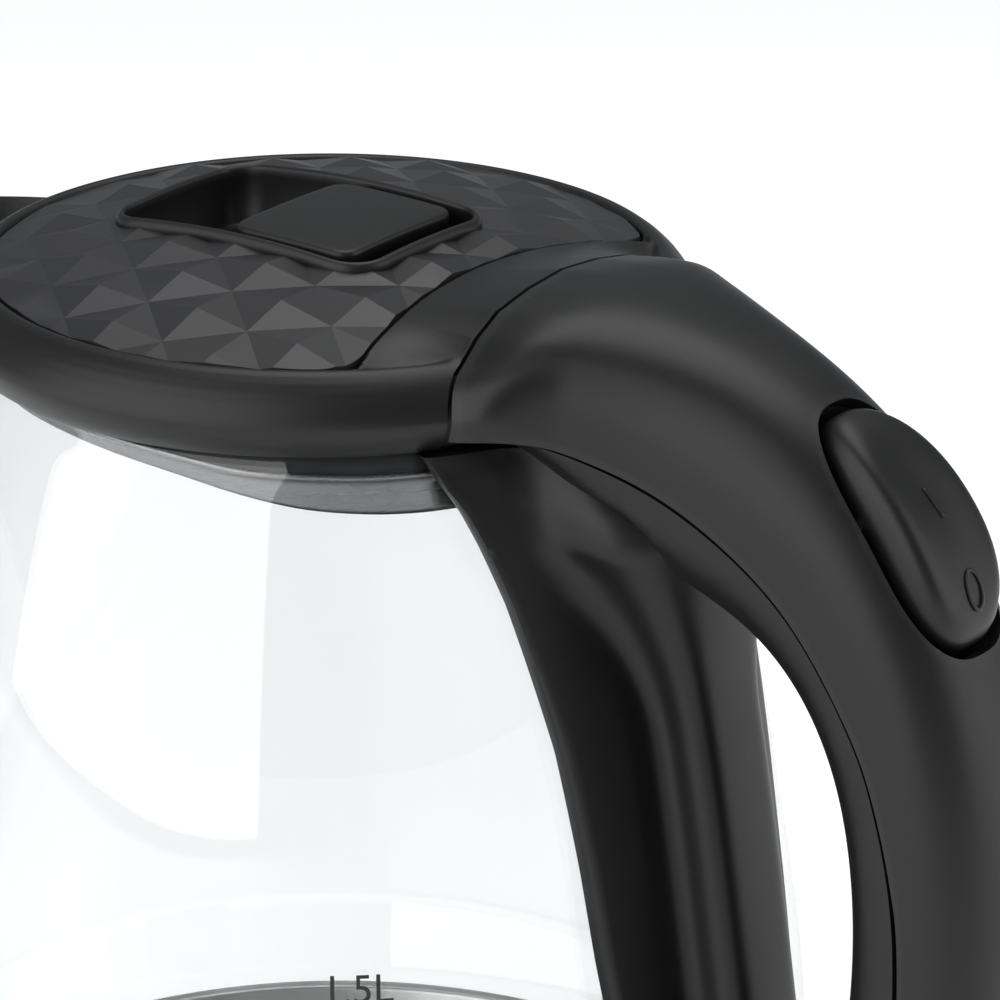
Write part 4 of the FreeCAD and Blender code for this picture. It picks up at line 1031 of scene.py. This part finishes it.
def pill_outline(reach, upper_half, lower_half, count=96):
    """A long rounded outline that widens towards its lower end."""
    points = []
    for a in np.linspace(0, 2 * np.pi, count, endpoint=False):
        c, s = math.cos(a), math.sin(a)
        x = reach * math.copysign(abs(c) ** 0.74, c)
        half = upper_half + (lower_half - upper_half) * (x / reach * 0.5 + 0.5)
        points.append((x, half * math.copysign(abs(s) ** 0.74, s)))
    return points


ROCKER_CREST = 3.9                               # height of the rocker's face at its middle
ROCKER_ARC = 44.0                                # radius of its face along its length
ROCKER_BASE = -8.5


def rocker_arc(x):
    """Height of the rocker's arched face before it is dished."""
    return ROCKER_CREST - (ROCKER_ARC - math.sqrt(ROCKER_ARC ** 2 - x * x))


def rocker_dish(x, y):
    """Depth of the thumb's dish in the upper half of the rocker."""
    return 0.9 * math.exp(-((x + 5.5) ** 2 / 60.0 + y * y / 26.0))


def rocker_piece(obj):
    """Puts a piece made round the origin on the rocker."""
    outward(obj)
    obj.data.transform(rocker_matrix())
    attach(obj, "rocker")
    return obj


def bead(name, path, radius, closed):
    """A thin rounded bead laid along a path on the rocker's face."""
    verts = []
    sides = 8
    path = np.array(path)
    count = len(path)
    for k in range(count):
        ahead = path[(k + 1) % count] if closed or k < count - 1 else path[k]
        behind = path[(k - 1) % count] if closed or k > 0 else path[k]
        way = (ahead - behind) / np.linalg.norm(ahead - behind)
        side = np.array([-way[1], way[0]])
        for a in np.linspace(0, 2 * np.pi, sides, endpoint=False):
            x, y = path[k] + side * radius * math.cos(a)
            z = rocker_arc(x) - rocker_dish(x, y) + 0.12 + radius * 0.6 * math.sin(a)
            verts.append((x, y, z))
    faces = grid_faces(count, sides, loop_cols=True, loop_rows=closed)
    if not closed:
        faces += ends(count, sides)
    rocker_piece(mesh(name, verts, faces, BLACK, None))


def build_rocker():
    """The rocker: a pill whose face follows an arc and is dished above, with a raised I and O."""
    levels = [(1.0, -1.2), (0.995, 0.2), (0.97, 1.2), (0.92, 1.95), (0.85, 2.4), (0.76, 2.6),
              (0.64, 2.68), (0.5, 2.72), (0.36, 2.74), (0.22, 2.75), (0.1, 2.75)]
    face_lift, dished_from = 2.75, 2.0
    count = 144
    outline = np.array(pill_outline(20.4, 9.2, 10.8, count))
    verts = [(x, y, ROCKER_BASE) for x, y in outline]
    for scale, lift in levels:
        for x, y in outline * scale:
            z = max(rocker_arc(x) - face_lift + lift, ROCKER_BASE + 1.0)
            verts.append((x, y, z - rocker_dish(x, y) if lift > dished_from else z))
    faces = grid_faces(len(levels) + 1, count, loop_cols=True)
    faces += fan(len(verts) - count, count, len(verts))
    faces.append(tuple(reversed(range(count))))
    verts.append((0, 0, ROCKER_CREST - 0.55))
    rocker = rocker_piece(mesh("rocker_cap", verts, faces, BLACK, None))
    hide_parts("rocker_switch")
    bead("rocker_i", [(x, 0.0) for x in np.linspace(-4.0, 1.2, 12)], 0.38, False)
    turns = np.linspace(0, 2 * np.pi, 40, endpoint=False)
    bead("rocker_o", [(13.2 + 3.0 * math.cos(a), 1.75 * math.sin(a)) for a in turns], 0.33, True)


# ---------------- foot and power base
def build_foot():
    """The kettle's foot: its housing, the steel dish inside the jug and the seal."""
    profile = rounded([(70.4, 13.4, 0.4), (71.9, 16.6, 1.0), (79.0, 20.0, 5.0), (81.9, 28.0, 8.0),
                       (82.0, 34.0, 5.0), (81.2, 38.6, 1.2), (80.4, 39.6, 0.9), (78.6, 39.6, 0.6),
                       (78.4, 37.6, 0.3), (72.0, 37.4, 0.3), (72.0, 35.4, 0.3), (79.0, 35.2, 1.0),
                       (78.8, 28.6, 4.0), (76.8, 22.4, 3.0), (70.4, 19.0, 0.3), (70.4, 13.4, 0)])[:-1]
    lathe("foot_housing", profile, BLACK, "kettle", 220, replaces=("lower_housing",), slot="black_plastic")
    dish = rounded([(0.0, 38.8, 0), (20.0, 38.9, 3.0), (55.0, 39.0, 3.0), (58.0, 40.2, 1.2),
                    (66.0, 40.2, 1.2), (68.0, 39.0, 1.0), (72.2, 39.0, 1.2), (73.2, 43.6, 0.7),
                    (75.9, 43.9, 0.5), (77.6, 41.6, 0.5), (77.9, 38.6, 0.4), (77.9, 37.9, 0.2),
                    (70.0, 37.8, 0.5), (0.0, 37.8, 0)])
    lathe("bottom_dish", dish, PLATE, "kettle", 220, replaces=("heating_plate",), slot="steel")
    seal = rounded([(75.2, 38.9, 0.2), (77.9, 38.9, 0.2), (77.9, 40.6, 0.3), (75.2, 40.6, 0.3),
                    (75.2, 38.9, 0)])
    lathe("jug_seal", seal[:-1], RUBBER, "kettle", 200, replaces=("lower_gasket",), slot="seal_rubber")


def build_base():
    """The power base's upper shell, cut for the cord inlet."""
    profile = rounded([(17.3, 10.9, 0.2), (17.3, 13.0, 0.5), (70.6, 13.0, 1.5), (73.0, 16.0, 1.2),
                       (77.0, 16.0, 1.8), (79.4, 12.0, 4.0), (80.0, 3.2, 1.2), (79.4, 2.0, 0.5),
                       (77.8, 2.0, 0.3), (77.4, 10.7, 0.6), (17.3, 10.9, 0)])[:-1]
    shell = lathe("base_cover_top", profile, BLACK, "base", 220, replaces=("base_shell",),
                  slot="black_plastic")
    carve(shell, block_mesh("gland_cut", (72, 84), (-5, 5), (0, 10.2)))
    all_smooth(shell)
    soften(shell, 0.35, 3, 50.0)


# ---------------- build
build_jug()
build_marks()
build_collar()
build_mouth()
build_skirt()
build_spout()
build_lid_panel()
build_latch_well()
build_latch()
build_outer_shell()
build_shade_core()
build_inner_shell()
build_rocker()
build_foot()
build_base()


# ---------------- studio
def build_floor():
    """A pale plain floor just below the rubber foot, with a little light of its own."""
    size = 9000.0
    verts = [(x, y, -0.2) for x, y in ((-size, -size), (size, -size), (size, size), (-size, size))]
    mat, tree, shader, coords = material("studio_floor")
    tree.links.new(tint(tree, noise(tree, coords, 3.0, 3.0), (0.9, 0.9, 0.9), (0.93, 0.93, 0.93)),
                   shader.inputs["Base Color"])
    shader.inputs["Roughness"].default_value = 0.7
    shader.inputs["Emission Color"].default_value = (1.0, 1.0, 1.0, 1.0)
    shader.inputs["Emission Strength"].default_value = 0.37
    mesh("studio_floor", verts, [(0, 1, 2, 3)], mat, None)


def area_light(name, place, target, width, height, radiance):
    """A rectangular light in metres, of a given radiance whatever its size."""
    data = bpy.data.lights.new(name, "AREA")
    data.shape = "RECTANGLE"
    data.size = width
    data.size_y = height
    data.energy = radiance * math.pi * width * height
    obj = bpy.data.objects.new(name, data)
    obj.location = place
    aim = Vector(target) - Vector(place)
    obj.rotation_euler = aim.to_track_quat("-Z", "Y").to_euler()
    bpy.context.scene.collection.objects.link(obj)


def build_studio():
    """A dim even world, a large softbox at the left, a smaller one behind and one above."""
    world = bpy.data.worlds.new("studio")
    bpy.context.scene.world = world
    world.use_nodes = True
    world.node_tree.nodes["Background"].inputs["Color"].default_value = (0.94, 0.97, 1.0, 1.0)
    world.node_tree.nodes["Background"].inputs["Strength"].default_value = 0.26
    softbox("key_left", -14.0, 1.25, 1.0, 1.9, 1.96, 2.05)
    softbox("fill_right", 118.0, 1.2, 0.6, 0.9, 1.1, 1.6)
    area_light("top", (-0.05, 0.3, 1.25), (0.0, 0.0, 0.2), 1.0, 0.9, 2.4)


def softbox(name, azimuth, reach, height, width, tall, radiance):
    """An upright light at an azimuth from -Y towards +X, facing the object."""
    a = math.radians(azimuth)
    place = (reach * math.sin(a), -reach * math.cos(a), height)
    area_light(name, place, (0.0, 0.0, height - 0.1), width, tall, radiance)


def build_camera():
    """The photo's view: looking past the kettle's rim from its right front, cropped to the top."""
    distance = 972.0
    azimuth, elevation = math.radians(38.3421), math.radians(18.446)
    yaw, pitch = math.radians(-1.8107), math.radians(2.3053)
    place = Vector((math.sin(azimuth) * math.cos(elevation), -math.cos(azimuth) * math.cos(elevation),
                    math.sin(elevation))) * distance
    place.z += RIM
    a, e = azimuth + yaw, elevation + pitch
    back = Vector((math.sin(a) * math.cos(e), -math.cos(a) * math.cos(e), math.sin(e)))
    right = Vector((math.cos(a), math.sin(a), 0.0))
    up = back.cross(right)
    data = bpy.data.cameras.new("camera")
    data.sensor_width = 36.0
    data.lens = 215.766
    data.clip_end = 100.0
    camera = bpy.data.objects.new("camera", data)
    camera.matrix_world = Matrix.Translation(place * MM) @ Matrix((right, up, back)).transposed().to_4x4()
    bpy.context.scene.collection.objects.link(camera)
    bpy.context.scene.camera = camera


build_floor()
build_studio()
build_camera()
bpy.context.scene.view_settings.view_transform = "Standard"
